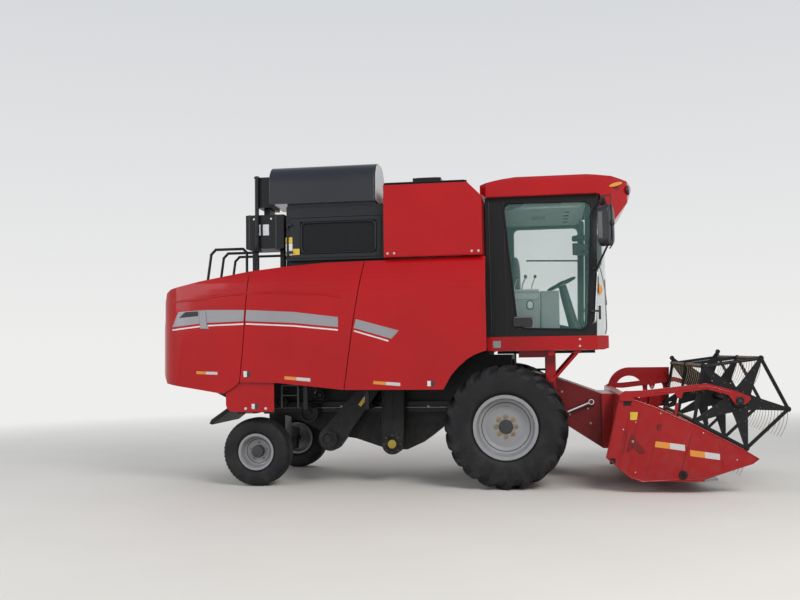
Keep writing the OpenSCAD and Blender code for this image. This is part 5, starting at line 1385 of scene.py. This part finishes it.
@dataclass(frozen=True)
class Reel:
    """Tine bars with spring tines, flanges, bolts and edge beads."""

    centre: tuple[float, float] = (2.602, 1.033)
    radius: float = 0.535
    phase: float = math.radians(-10.6)
    half: float = 1.330
    bar: float = 0.017
    crank: float = 0.0135
    star: float = 0.075
    count: int = 5
    tines: int = 18
    length: float = 0.30

    def spot(self, turn: float, along: float, off: float = 0.0) -> tuple[float, float]:
        """X and Z of a point at a distance along a spoke and off it."""
        cos, sin = math.cos(turn), math.sin(turn)
        return self.centre[0] + along * cos - off * sin, self.centre[1] + along * sin + off * cos

    def tine(self) -> Form:
        """One spring tine: two turns round the bar, then a wire that bends rearwards."""
        wide, root, tip = 0.024, 0.0033, 0.0024
        coil = np.linspace(0, 2.25 * TAU, 34)
        r = self.bar + 0.004
        spring = np.column_stack([r * np.cos(coil), (coil / coil[-1] - 0.5) * wide, r * np.sin(coil)])
        s = np.linspace(0.04, 1, 12)
        wire = np.column_stack([0.02 * s - 0.11 * s ** 2 + r * 0.35, np.full(len(s), wide / 2),
                                -self.bar - self.length * s + 0.003])
        size = np.concatenate([np.full(len(spring) - 1, root), np.linspace(root, tip, len(s))])
        return pipe(np.vstack([spring[:-1], wire]), size, 6)

    def bar_parts(self, x: float, z: float) -> Form:
        """The tube of a tine bar at a place, with the crank and pin that the control star turns."""
        end, r, c = self.half + 0.0195, self.bar, self.crank
        tube = lathe([(0, -end), (c, -end), (r, -end + 0.003), (r, end - 0.003), (c, end), (0, end)], (x, 0, z))
        turn = np.linspace(TAU / 4, TAU * 3 / 4, 9)
        cos, sin = c * np.cos(turn), c * np.sin(turn)
        outline = np.vstack([np.column_stack([sin, self.star - cos]), np.column_stack([-sin, cos])])
        link = prism(outline + (x, z), end - 0.0115, end)
        pin = lathe([(0, end - 0.008), (r - 0.0005, end - 0.008), (r - 0.0005, end + 0.010), (0.013, end + 0.0118),
                     (0, end + 0.0118)], (x, 0, z + self.star))
        return joined([tube, link, pin])

    def make_bars(self) -> None:
        """Builds the bars with their tines and clips."""
        tine = self.tine()
        places = -self.half + 0.06 + (2 * self.half - 0.12) / (self.tines - 1) * np.arange(self.tines)
        row = joined(tine.moved(y=y) for y in places)
        clips = joined(box((-0.006, y - 0.017, self.bar - 0.002), (0.006, y + 0.017, self.bar + 0.004))
                       for y in places)
        for k in range(self.count):
            x, z = self.spot(self.phase + k * TAU / self.count, self.radius)
            body = f"bar_{k + 1}"
            row.moved(x, 0, z).build(f"spring_tines_{k + 1}", Finish.SPRING, body)
            self.bar_parts(x, z).build(f"tine_tube_{k + 1}", Finish.BLACK, body, replaces=[f"tine_bar_{k + 1}"])
            clips.moved(x, 0, z).build(f"tine_clips_{k + 1}", Finish.SPRING, body)

    def make_plates(self) -> None:
        """Builds the hubs' flanges, bolts and the folded edges of the star plates."""
        x, z = self.centre
        forms, nuts, beads = [], [], []
        half_step = TAU / self.count / 2
        out, reach = self.radius * math.cos(half_step), self.radius * math.sin(half_step) - 0.04
        for way in (-1, 1):
            y = way * self.half
            flange = [(0.025, 0), (0.025, way * 0.012), (0.075, way * 0.012), (0.085, 0.0)]
            forms.append(lathe(flange, (x, y, z), steps=32))
            nuts.append(bolts(placed(disc_outline((x, z), 0.105, 10, self.phase), y), 0.009, 0.008, "Y", way))
            for k in range(self.count):
                turn = self.phase + k * TAU / self.count
                spots = placed([self.spot(turn, *at) for at in ((0.24, 0.035), (0.24, -0.035), (0.38, 0.0))], y)
                nuts.append(bolts(spots, 0.007, 0.006, "Y", way))
                ends = [self.spot(turn + half_step, out, off) for off in (-reach, reach)]
                beads.append(pipe(placed(ends, y + way * 0.002), 0.005))
        joined(forms).build("reel_flanges", Finish.BLACK, "reel")
        joined(nuts).build("reel_bolts", Finish.HUB, "reel")
        joined(beads).build("reel_edge_beads", Finish.BLACK, "reel")

    def make(self) -> None:
        """Builds the reel's details."""
        self.make_bars()
        self.make_plates()


@dataclass(frozen=True)
class Header:
    """Knife, folds, bolts, blank plates and strips of the header."""

    face: float = 1.415
    outline: tuple[tuple[float, float], ...] = (
        (1.303, 1.112), (1.673, 0.982), (2.112, 0.779), (2.620, 0.504), (2.791, 0.395), (2.720, 0.340),
        (2.189, 0.161), (1.985, 0.150), (1.518, 0.129), (1.388, 0.177), (1.130, 0.399))

    def knife(self) -> None:
        """Toothed knife sections on their back, with hold-down clips."""
        x, z, half, pitch = 2.258, 0.1625, 1.36, 0.0747
        tooth = [(x - 0.01, -0.036), (x + 0.012, -0.036), (x + 0.070, -0.006), (x + 0.070, 0.006),
                 (x + 0.012, 0.036), (x - 0.01, 0.036)]
        section = prism(tooth, z, z + 0.003, "Z")
        teeth = joined(section.moved(0, y, 0) for y in np.arange(-half + 0.04, half - 0.03, pitch))
        teeth.build("knife_sections", Finish.BRIGHT, "header")
        back = box((x - 0.034, -half, z - 0.0005), (x - 0.012, half, z + 0.007))
        clip = [(x - 0.05, z), (x - 0.05, z + 0.012), (x - 0.012, z + 0.012), (x + 0.018, z + 0.006),
                (x + 0.018, z + 0.003), (x - 0.01, z + 0.0035)]
        clips = [prism(clip, y - 0.02, y + 0.02) for y in np.arange(-half + 0.12, half - 0.1, pitch * 4)]
        joined([back, *clips]).build("knife_back", Finish.STEEL, "header")

    def ends(self) -> None:
        """Folded rim and creases, strips, bolts and roller of both end plates."""
        y = self.face
        edge = np.array(self.outline)
        inwards = edge.mean(0) - edge
        rim = edge + inwards / np.linalg.norm(inwards, axis=1, keepdims=True) * 0.014
        pipe(placed(rim, y), 0.008, 8, True).pair("end_rim", Finish.HEADER_RED, "header")
        folds = [((1.434, 1.035), (1.266, 0.325), 0.006), ((1.509, 0.948), (1.366, 0.200), 0.006),
                 ((1.685, 0.610), (1.552, 0.160), 0.005), ((2.368, 0.555), (2.402, 0.300), 0.005)]
        lines = joined(pipe(placed([a, b], y), wide) for a, b, wide in folds)
        lines.pair("end_folds", Finish.HEADER_RED, "header")
        pipe([(2.077, y, 0.668), (1.921, y, 0.185)], 0.0045).pair("end_seam", Finish.DARK_RED, "header")
        strips = [((1.671, 0.590), (1.671, 0.523), (1.996, 0.480), (1.996, 0.547)),
                  ((2.050, 0.491), (2.050, 0.424), (2.368, 0.381), (2.368, 0.448))]
        for k, corners in enumerate(strips, 1):
            a, b, c, d = np.array(corners)
            over, under = (a + d) / 2, (b + c) / 2
            for name, shape, finish in (("orange", [a, b, under, over], Finish.ORANGE),
                                        ("white", [over, under, c, d], Finish.SILVER_TAPE)):
                prism(shape, y - 0.002, y + 0.0015).pair(f"end_reflector_{name}_{k}", finish, "header")
        spots = placed([(1.40, 1.05), (1.47, 0.80), (1.30, 0.36), (1.45, 0.24), (1.62, 0.20), (1.745, 0.90),
                        (2.02, 0.30), (2.20, 0.68), (2.44, 0.50), (2.55, 0.385), (1.28, 0.62), (1.33, 0.72)], y)
        bolts(spots[::2], 0.008, 0.006).pair("end_bolts", Finish.HEADER_RED, "header", slot="steel")
        bolts(spots[1::2], 0.005, 0.004).pair("end_rivets", Finish.BRIGHT, "header")
        roller = lathe([(0.012, 0.0), (0.040, 0.0), (0.046, 0.006), (0.046, 0.034), (0.040, 0.040), (0.012, 0.040)],
                       (1.968, y - 0.01, 0.215), steps=28)
        roller.pair("end_roller", Finish.SEAL, "header", slot="black_paint")

    def right_end(self) -> None:
        """Square holes drawn as dark plates of painted shade, blank plate, lever in its slot and clip of the right
        end plate.
        """
        y = self.face

        def lay(name: str, form: Form, finish: Finish = Finish.DARK_RED, slot: str = "steel",
                bevel: float = 0.0) -> None:
            """Builds a form, drawn for the left, on the right end plate."""
            form.mirrored().build(f"end_{name}_right", finish, "header", slot=slot, bevel=bevel)

        # The square holes are dark plates that paint the shade seen through them.
        holes = [panel(low, high, 0.006, y - 0.004, y + 0.0012)
                 for low, high in (((1.338, 0.985), (1.432, 1.062)), ((1.170, 0.330), (1.236, 0.396)))]
        lay("square_holes", joined(holes), Finish.SEAL, "black_paint")
        plate = panel((1.410, 0.826), (1.493, 0.914), 0.003, y - 0.002, y + 0.0018)
        lay("blank_plate", plate, Finish.YELLOW, "plastic")
        lever = [(1.424, 0.680), (1.388, 0.568), (1.363, 0.467), (1.392, 0.478), (1.428, 0.530), (1.505, 0.445),
                 (1.560, 0.456), (1.540, 0.501), (1.462, 0.590)]
        lay("lever", prism(lever, y, y + 0.010), bevel=0.002)
        slot = bent([(1.345, 0.70), (1.372, 0.70), (1.318, 0.44), (1.290, 0.44), (1.345, 0.70)], 0.02)
        lay("slot_rim", pipe(placed(slot, y), 0.005))
        pin = [(0, y + 0.006), (0, y + 0.018), (0.014, y + 0.016), (0.016, y + 0.006)]
        lay("lever_pin", lathe(pin, (1.430, 0, 0.585)), Finish.STEEL)
        lay("clip", panel((1.702, 0.713), (1.742, 0.780), 0.008, y, y + 0.014), bevel=0.003)

    def back(self) -> None:
        """Ribs on the header's back sheet, the feeder house's side plates, bolts and slats."""
        lean = math.atan2(0.105, 0.64)
        ribs = [box((1.196, y - 0.02, 0.47), (1.222, y + 0.02, 1.03)).turned(lean, "Y", (1.20, 0, 0.47))
                for y in (-1.20, -0.90, 0.90, 1.20)]
        joined(ribs).build("back_ribs", Finish.HEADER_RED, "header", bevel=0.003)
        # The feeder house's side plates take the dark red, which paints the shade on them.
        sheet = [(0.42, 1.20), (0.66, 1.14), (1.02, 0.985), (1.04, 0.66), (0.76, 0.80), (0.46, 1.03)]
        prism(sheet, 0.4695, 0.4745).pair(
            "feeder_panel", Finish.DARK_RED, "header", slot="dark_red_paint", bevel=0.003)
        spots = [(0.45, 1.17), (0.67, 1.11), (0.98, 0.90), (1.01, 0.72), (0.76, 0.83), (0.50, 1.04)]
        bolts(placed(spots, 0.4745), 0.009, 0.007).pair("feeder_bolts", Finish.STEEL, "header")
        slats = [box((x, -0.43, z), (x + 0.03, 0.43, z + 0.012))
                 for x, z in ((0.40, 1.08), (0.56, 1.02), (0.74, 0.90), (0.92, 0.78))]
        joined(slats).build("feeder_slats", Finish.STEEL, "header")

    def auger(self) -> None:
        """Edge wear on the flighting and guides of the fingers."""
        x, z, radius, turns, half, start = 1.56, 0.46, 0.2585, 2.0, 1.363, 0.40
        steps = np.linspace(0, 1, 97)
        a = TAU * turns * steps
        path = [x + radius * np.cos(a), start + (half - 0.42) * steps + 0.004, z + radius * np.sin(a)]
        pipe(np.column_stack(path), 0.0042, 6).pair("auger_edge", Finish.BRIGHT, "auger")
        guide = lathe([(0.0095, 0.146), (0.022, 0.146), (0.024, 0.156), (0.0095, 0.158)], axis="Z", steps=18)
        eyes = [guide.turned(i * TAU / 8, "Y").moved(x, -0.28 + i * 0.08, z) for i in range(8)]
        joined(eyes).build("finger_guides", Finish.PLASTIC, "auger")

    def arms(self) -> None:
        """Bearing blocks and light line of the reel arms."""
        y = 1.42
        block = panel((2.560, 0.990), (2.644, 1.076), 0.012, y, y + 0.014)
        block.pair("reel_bearing", Finish.BLACK, "arms", slot="red_paint", bevel=0.004)
        nuts = bolts([(x, y + 0.014, z) for x in (2.571, 2.633) for z in (1.002, 1.064)], 0.007, 0.006)
        cap = lathe([(0, y + 0.012), (0, y + 0.022), (0.018, y + 0.020), (0.022, y + 0.014)],
                    (2.602, 0, 1.033), steps=24)
        (nuts + cap).pair("reel_bearing_nuts", Finish.HUB, "arms")
        line = curve_through([(1.60, 1.120), (1.95, 1.158), (2.257, 1.197), (2.50, 1.128)], 6)
        pipe(placed(line, y + 0.001), 0.0055).pair("arm_bead", Finish.HEADER_RED, "arms")

    def make(self) -> None:
        """Builds all parts of the header."""
        self.knife()
        self.ends()
        self.right_end()
        self.back()
        self.auger()
        self.arms()


class Underbody:
    """Covers, belts and pulleys below and behind the shields."""

    def leg(self) -> None:
        """Beads, ring, bolts and cap of the grain leg, with the blank labels of the tube behind it."""
        x, y, z = -1.41, -0.885, 0.50
        beads = [rod((-1.525, y, 0.56), (-1.522, y, 1.18), 0.007), rod((-1.295, y, 0.56), (-1.262, y, 1.18), 0.007),
                 rod((x, y, 0.66), (-1.40, y, 1.18), 0.005)]
        joined(beads).build("grain_leg_beads", Finish.UNDER)
        ring = lathe([(0.118, y - 0.006), (0.128, y - 0.006), (0.128, y + 0.004), (0.118, y + 0.004)],
                     (x, 0, z), steps=40)
        ring.build("grain_leg_ring", Finish.UNDER)
        cap = lathe([(0, y - 0.028), (0.030, y - 0.027), (0.050, y - 0.022), (0.054, y - 0.012), (0.054, y - 0.002),
                     (0, y - 0.002)], (x, 0, z), steps=36)
        cap.build("grain_leg_cap", Finish.OCHRE)
        heads = bolts(placed(disc_outline((x, z), 0.105, 8), y), 0.009, 0.007, "Y", -1)
        heads.build("grain_leg_bolts", Finish.HUB)
        yellow = [(-1.83, 0.985), (-1.77, 1.065), (-1.735, 1.04), (-1.795, 0.96)]
        white = [(-1.77, 1.065), (-1.75, 1.092), (-1.715, 1.067), (-1.735, 1.04)]
        prism(yellow, y - 0.0015, y + 0.002).build("tailings_label", Finish.YELLOW)
        prism(white, y - 0.0015, y + 0.002).build("tailings_label_white", Finish.WHITE, slot="plastic")

    @staticmethod
    def pulley(x: float, z: float, r: float, near: float) -> Form:
        """A grooved pulley whose back lies at near, on a shaft from the body's side: one section turned about Y."""
        face = near - 0.05
        outline = [(0.0, face), (0.03, face), (0.034, face + 0.024), (r * 0.74, face + 0.028),
                   (r * 0.80, face + 0.004), (r * 0.81, face), (r, face), (r, face + 0.012), (r * 0.86, near - 0.025),
                   (r, near - 0.012), (r, near - 0.002), (0.028, near - 0.002)]
        outline += [(0.028, -0.558), (0.0, -0.558)] if near > -0.8 else [(0.0, near - 0.002)]
        return lathe(outline, (x, 0, z), steps=36)

    @staticmethod
    def belt(a: Place, b: Place, y: float, share: float = 0.95) -> Form:
        """A belt round two pulleys: two arcs, and the straights that touch both circles.

        Args:
            a: X, Z and radius of the first pulley.
            b: The same of the second.
            y: The belt's place.
            share: The belt's radius over the pulley's.

        Returns:
            The form.
        """
        (x0, z0, r0), (x1, z1, r1) = (a[0], a[1], a[2] * share), (b[0], b[1], b[2] * share)
        along = math.atan2(z1 - z0, x1 - x0)
        lean = math.acos((r0 - r1) / math.hypot(x1 - x0, z1 - z0))
        back, front = np.linspace(along + lean, along + TAU - lean, 18), np.linspace(along - lean, along + lean, 14)
        ring = np.vstack([np.column_stack([x + r * np.cos(turn), z + r * np.sin(turn)])
                          for x, z, r, turn in ((x0, z0, r0, back), (x1, z1, r1, front))])
        return pipe(placed(ring, y), 0.008, 6, True)

    def drives(self) -> None:
        """Pulleys and belts: some below the shields on the right, and a set behind the shields on both sides."""
        low = [(-2.50, 0.88, 0.12, -0.69), (-2.86, 1.02, 0.08, -0.69), (-2.36, 1.10, 0.06, -0.69),
               (-2.2, 0.56, 0.10, -0.885)]
        joined(self.pulley(*row) for row in low).build("pulleys", Finish.UNDER, slot="cast")
        self.belt((-2.50, 0.88, 0.115), (-2.36, 1.10, 0.056), -0.716, 1.0).build("belts", Finish.SEAL)
        near, far, wall, skin = -0.686, -0.63, -0.557, -0.584
        inner = [(-2.12, 2.05, 0.16), (-3.52, 1.62, 0.24), (-2.52, 1.678, 0.05)]
        outer = [(-2.12, 2.05, 0.12), (-1.69, 1.72, 0.21), (-3.52, 1.62, 0.13), (-2.87, 1.42, 0.17)]
        wheels = joined([self.pulley(*row, far) for row in inner] + [self.pulley(*row, near) for row in outer])
        bands = joined([self.belt(*inner[:2], far - 0.025), self.belt(*outer[:2], near - 0.025),
                        self.belt(*outer[2:], near - 0.025)])
        columns = ((-3.92, 1.20, 2.22), (-3.19, 1.06, 2.33), (-2.45, 1.06, 2.33), (-1.87, 1.06, 2.33))
        frames = [box((x - 0.025, -0.585, bottom), (x + 0.025, wall, top)) for x, bottom, top in columns]
        frames += [box((-4.0, -0.575, z), (-1.40, wall, z + 0.05)) for z in (1.24, 2.15)]
        frames += [lathe([(0, -0.592), (0.082, -0.590), (0.086, wall), (0, wall)], (x, 0, z), steps=28)
                   for x, z, _ in inner + outer]
        spots = [(x, -0.59, z) for *place, _ in outer for x, z in disc_outline(place, 0.066, 4, TAU / 8)]
        spots += [(x, skin, z) for x, _, _ in columns[1:] for z in np.arange(1.12, 2.3, 0.19)]
        heads = bolts(spots, 0.009, 0.007, "Y", -1)
        for name, form, finish in (("pulleys", wheels, Finish.HUB), ("belts", bands, Finish.SEAL),
                                   ("frame_bolts", heads, Finish.BRIGHT)):
            form.mirrored().pair(f"side_{name}", finish)
        joined(frames).mirrored().pair("side_frames", Finish.GREY, slot="black_paint")

    def frame(self) -> None:
        """A light step frame, the chute's latch plate, and pipes and bolts along the chassis rails."""
        rear, front, y = -2.79, -2.58, -0.95
        bars = [pipe(bent([(rear, y, 0.95), (rear, y, 1.235), (front, y, 1.235), (front, y, 0.95)], 0.02), 0.011, 10),
                rod((rear, y, 1.11), (front, y, 1.11), 0.009)]
        bars += [rod((x, y, 1.18), (x, -0.70, 1.18), 0.009) for x in (rear, front)]
        joined(bars).build("step_frame", Finish.RAIL, slot="steel")
        panel((-3.40, 0.86), (-3.30, 1.03), 0.01, -0.5625, -0.558).build("chute_latch_plate", Finish.PALE)
        rails = [rod((-3.30, y, 0.94), (0.45, y, 0.94), 0.006) for y in (-0.699, 0.699)]
        joined(rails).build("rail_pipes", Finish.STEEL)
        nuts = bolts([(x, -0.6805, 0.945) for x in np.arange(-3.2, 0.5, 0.37)], 0.012, 0.009, "Y", -1)
        (nuts + nuts.mirrored()).build("rail_bolts", Finish.STEEL)

    def make(self) -> None:
        """Builds all parts below and behind the shields."""
        self.leg()
        self.drives()
        self.frame()


@dataclass(frozen=True)
class Unloader:
    """Rings, bolts and spout lip of the unloading tube, whose turret stands at the axis."""

    axis: tuple[float, float, float] = (-0.43, 1.185, 3.48)

    def make(self) -> None:
        """Builds clamp rings along the tube, the rubber spout's lip and the turret's bolts."""
        x0, y, z = self.axis
        joints = [x0 - back for back in (0.25, 1.30, 2.35)]
        rings = [lathe([(0.121, x - 0.012), (0.128, x - 0.012), (0.128, x + 0.012), (0.121, x + 0.012)], (0, y, z),
                       "X", 40) for x in (*joints, x0 - 3.03)]
        joined(rings).build("tube_rings", Finish.RED, "unloader")
        bolts([(x, y - 0.004, z + 0.128) for x in joints], 0.010, 0.008, "Z").build(
            "tube_bolts", Finish.BRIGHT, "unloader")
        lip = rounded((x0 - 3.042, y - 0.112), (x0 - 2.828, y + 0.112), 0.012)
        pipe(placed(lip, z - 0.255, "Z"), 0.007, 8, True).build("spout_lip", Finish.SEAL, "unloader")
        ring = placed(disc_outline((x0, y), 0.142, 12), z - 0.1545, "Z")
        bolts(ring, 0.008, 0.007, "Z").build("turret_bolts", Finish.BRIGHT, "unloader")


class Dress:
    """Finishes of the CAD nodes that stay."""

    TABLE = {
        Finish.RED: "rear_cover fixed_shields mid_shield_right mid_shield_left rear_shield_right rear_shield_left "
                    "grain_tank cab_roof unloading_auger cab_floor cab_stand",
        Finish.BLACK: "chassis_frame front_axle engine_deck side_platform reel_rotor reel_star air_cleaner cab_shell "
                      "tank_lid_right tank_lid_left",
        Finish.HOOD: "cooling_hood",
        Finish.UNDER: "threshing_body elevators rear_axle_beam knuckle_right knuckle_left tie_rod",
        Finish.GREY: "radiator_housing screen_door",
        Finish.RIM: "front_rim_right front_rim_left rear_rim_right rear_rim_left",
        # Dark red on the feeder house paints the shade on its red sides.
        Finish.DARK_RED: "feeder_house",
        Finish.HEADER_RED: "header_frame reel_arms header_auger lift_barrels reel_lift_barrels",
        Finish.STEEL: "cutter_bar",
        Finish.CHROME: "lift_rods reel_lift_rods",
        Finish.GLASS: "cab_glass",
        Finish.TRIM: "controls",
        Finish.PLASTIC: "mirrors",
        Finish.ENGINE: "engine_block",
    }

    def make(self) -> None:
        """Dresses every node of the table."""
        for finish, nodes in self.TABLE.items():
            for node in nodes.split():
                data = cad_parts[node].data
                data.materials.clear()
                data.materials.append(Store.of(finish))
                LOG.info("%s: %s", node, finish.name.lower())


# Picture.


@dataclass(frozen=True)
class Studio:
    """Floor, lights and camera."""

    eye: tuple[float, float, float] = (0.52, -12.25, 1.606)
    forward: tuple[float, float] = (-0.1571, 0.9876)
    pitch: float = math.radians(3.32)
    roll: float = 0.014
    focal: float = 930.0
    width: float = 800.0
    key: float = 1080.0
    fill: float = 324.0
    rear: float = 430.0
    sky: float = 0.54
    backdrop: float = 0.86

    def camera(self) -> None:
        """Sets the camera at the photograph's place: forward is tilted up by the pitch, then rolled."""
        level = np.array([*self.forward, 0.0])
        side = np.array([self.forward[1], -self.forward[0], 0.0])
        ahead = level * math.cos(self.pitch) + np.array([0, 0, math.sin(self.pitch)])
        over = np.array([0, 0, math.cos(self.pitch)]) - level * math.sin(self.pitch)
        right = side - self.roll * over
        up = over + self.roll * side
        data = bpy.data.cameras.new("camera")
        data.sensor_width = 36.0
        data.lens = 36.0 * self.focal / self.width
        data.clip_end = 200.0
        camera = bpy.data.objects.new("camera", data)
        turn = Matrix((right, up, -ahead)).transposed().to_4x4()
        camera.matrix_world = Matrix.Translation((self.eye[0] + AXLE_X, self.eye[1], self.eye[2])) @ turn
        bpy.context.scene.collection.objects.link(camera)
        bpy.context.scene.camera = camera

    def floor(self) -> None:
        """A pale floor that turns into the backdrop far away, for the camera and clear reflections."""
        mesh = bpy.data.meshes.new("floor")
        reach = 60.0
        mesh.from_pydata([(reach * x, reach * y, 0) for x, y in ((-1, -1), (1, -1), (1, 1), (-1, 1))], [],
                         [(0, 1, 2, 3)])
        s = Sketch("floor_paint")
        s.set("Base Color", s.mix(s.noise(0.8, 3.0), (0.70, 0.672, 0.625), (0.76, 0.732, 0.685)))
        s.set("Roughness", 0.8)
        far = (s.axis("X") * s.axis("X") + s.axis("Y") * s.axis("Y")).spread(25.0, 260.0)
        white = s.node("ShaderNodeEmission", {}, {"Color": (1.0, 0.995, 0.985, 1.0), "Strength": self.backdrop})

        def ray(kind: str) -> Wire:
            """One for the rays of a kind, zero for others."""
            return s.node("ShaderNodeLightPath", {}, {}, f"Is {kind} Ray")

        seen = (ray("Camera") + ray("Glossy") + ray("Transmission")).clamped()
        fade = s.node("ShaderNodeMixShader", {}, {0: far * seen, 1: Wire(s, s.shader.outputs[0]), 2: white})
        s.tree.links.new(fade.socket, s.output.inputs["Surface"])
        mesh.materials.append(s.material)
        floor = bpy.data.objects.new("floor", mesh)
        bpy.context.scene.collection.objects.link(floor)

    def light(self, name: str, place: Place, aim: Place, size: float, power: float,
              colour: Colour = (1.0, 1.0, 1.0), mirrored: bool = True) -> None:
        """An area light that looks at a point, and shows in reflections if it is mirrored."""
        data = bpy.data.lights.new(name, "AREA")
        data.shape = "RECTANGLE"
        data.size = size
        data.size_y = size * 0.7
        data.energy = power
        data.color = colour
        lamp = bpy.data.objects.new(name, data)
        lamp.visible_glossy = mirrored
        ahead = np.asarray(aim, float) - place
        ahead /= np.linalg.norm(ahead)
        right = np.cross(ahead, (0, 0, 1))
        right /= np.linalg.norm(right)
        up = np.cross(right, ahead)
        lamp.matrix_world = Matrix.Translation(place) @ Matrix((right, up, -ahead)).transposed().to_4x4()
        bpy.context.scene.collection.objects.link(lamp)

    def world(self) -> None:
        """A soft pale sky that lights the machine, and a near-white one for the camera and clear reflections."""
        world = bpy.data.worlds.new("sky")
        world.use_nodes = True
        tree = world.node_tree
        tree.nodes.clear()

        def node(kind: str, **values: object) -> bpy.types.Node:
            """A node with its plain properties set."""
            made = tree.nodes.new(kind)
            for key, value in values.items():
                setattr(made, key, value)
            return made

        split = node("ShaderNodeSeparateXYZ")
        tree.links.new(node("ShaderNodeTexCoord").outputs["Generated"], split.inputs[0])

        def sky(low: Colour, high: Colour, strength: float) -> bpy.types.Node:
            """A background that goes from one colour at the horizon to another overhead."""
            ramp = node("ShaderNodeValToRGB")
            tree.links.new(split.outputs["Z"], ramp.inputs[0])
            for stop, colour in zip(ramp.color_ramp.elements, (low, high)):
                stop.color = (*colour, 1.0)
            made = node("ShaderNodeBackground")
            tree.links.new(ramp.outputs[0], made.inputs["Color"])
            made.inputs["Strength"].default_value = strength
            return made

        rays = node("ShaderNodeLightPath")
        share = rays.outputs["Is Camera Ray"]
        for name in ("Is Transmission Ray", "Is Glossy Ray"):
            larger = node("ShaderNodeMath", operation="MAXIMUM")
            tree.links.new(share, larger.inputs[0])
            tree.links.new(rays.outputs[name], larger.inputs[1])
            share = larger.outputs[0]
        mix = node("ShaderNodeMixShader")
        tree.links.new(share, mix.inputs[0])
        tree.links.new(sky((0.80, 0.80, 0.79), (0.80, 0.88, 1.0), self.sky).outputs[0], mix.inputs[1])
        tree.links.new(sky((1.0, 0.995, 0.985), (0.40, 0.46, 0.56), self.backdrop).outputs[0], mix.inputs[2])
        tree.links.new(mix.outputs[0], node("ShaderNodeOutputWorld").inputs["Surface"])
        bpy.context.scene.world = world

    def make(self) -> None:
        """Sets the whole stage."""
        self.camera()
        self.floor()
        self.world()
        middle = (0.0, 0.0, 1.6)
        self.light("key", (6.5, -10.0, 9.5), middle, 6.0, self.key, (1.0, 0.98, 0.94))
        self.light("fill", (-9.0, -8.0, 5.0), middle, 7.0, self.fill, (0.94, 0.97, 1.0))
        self.light("rear", (-3.0, 10.0, 8.0), middle, 12.0, self.rear, mirrored=False)
        bpy.context.scene.view_settings.view_transform = "Standard"


def main() -> None:
    logging.basicConfig(level=logging.INFO, format="%(name)s %(message)s")
    Studio().make()
    Dress().make()
    drive = WheelTrim(name="drive", body="front_wheel", centre=(0.0, 1.085, 0.73), face=0.062, circle=0.117,
                      bolt=0.021, count=8, cap=0.082, cap_face=0.082, cap_depth=0.019, valve=0.375,
                      line=(0.2855, 0.0674))
    steer = WheelTrim(name="steer", body="rear_wheel", centre=(-3.09, 0.965, 0.42), face=-0.004, circle=0.108,
                      bolt=0.010, count=5, cap=0.076, cap_face=0.053, cap_depth=0.057, valve=0.20,
                      line=(0.151, -0.0018))
    for part in (DriveTyre(), SteerTyre(), drive, steer, SideShields(), RearFace(), GrainTank(), EngineBay(), Cab(),
                 Reel(), Header(), Underbody(), Unloader()):
        part.make()


if __name__ == "__main__":
    main()
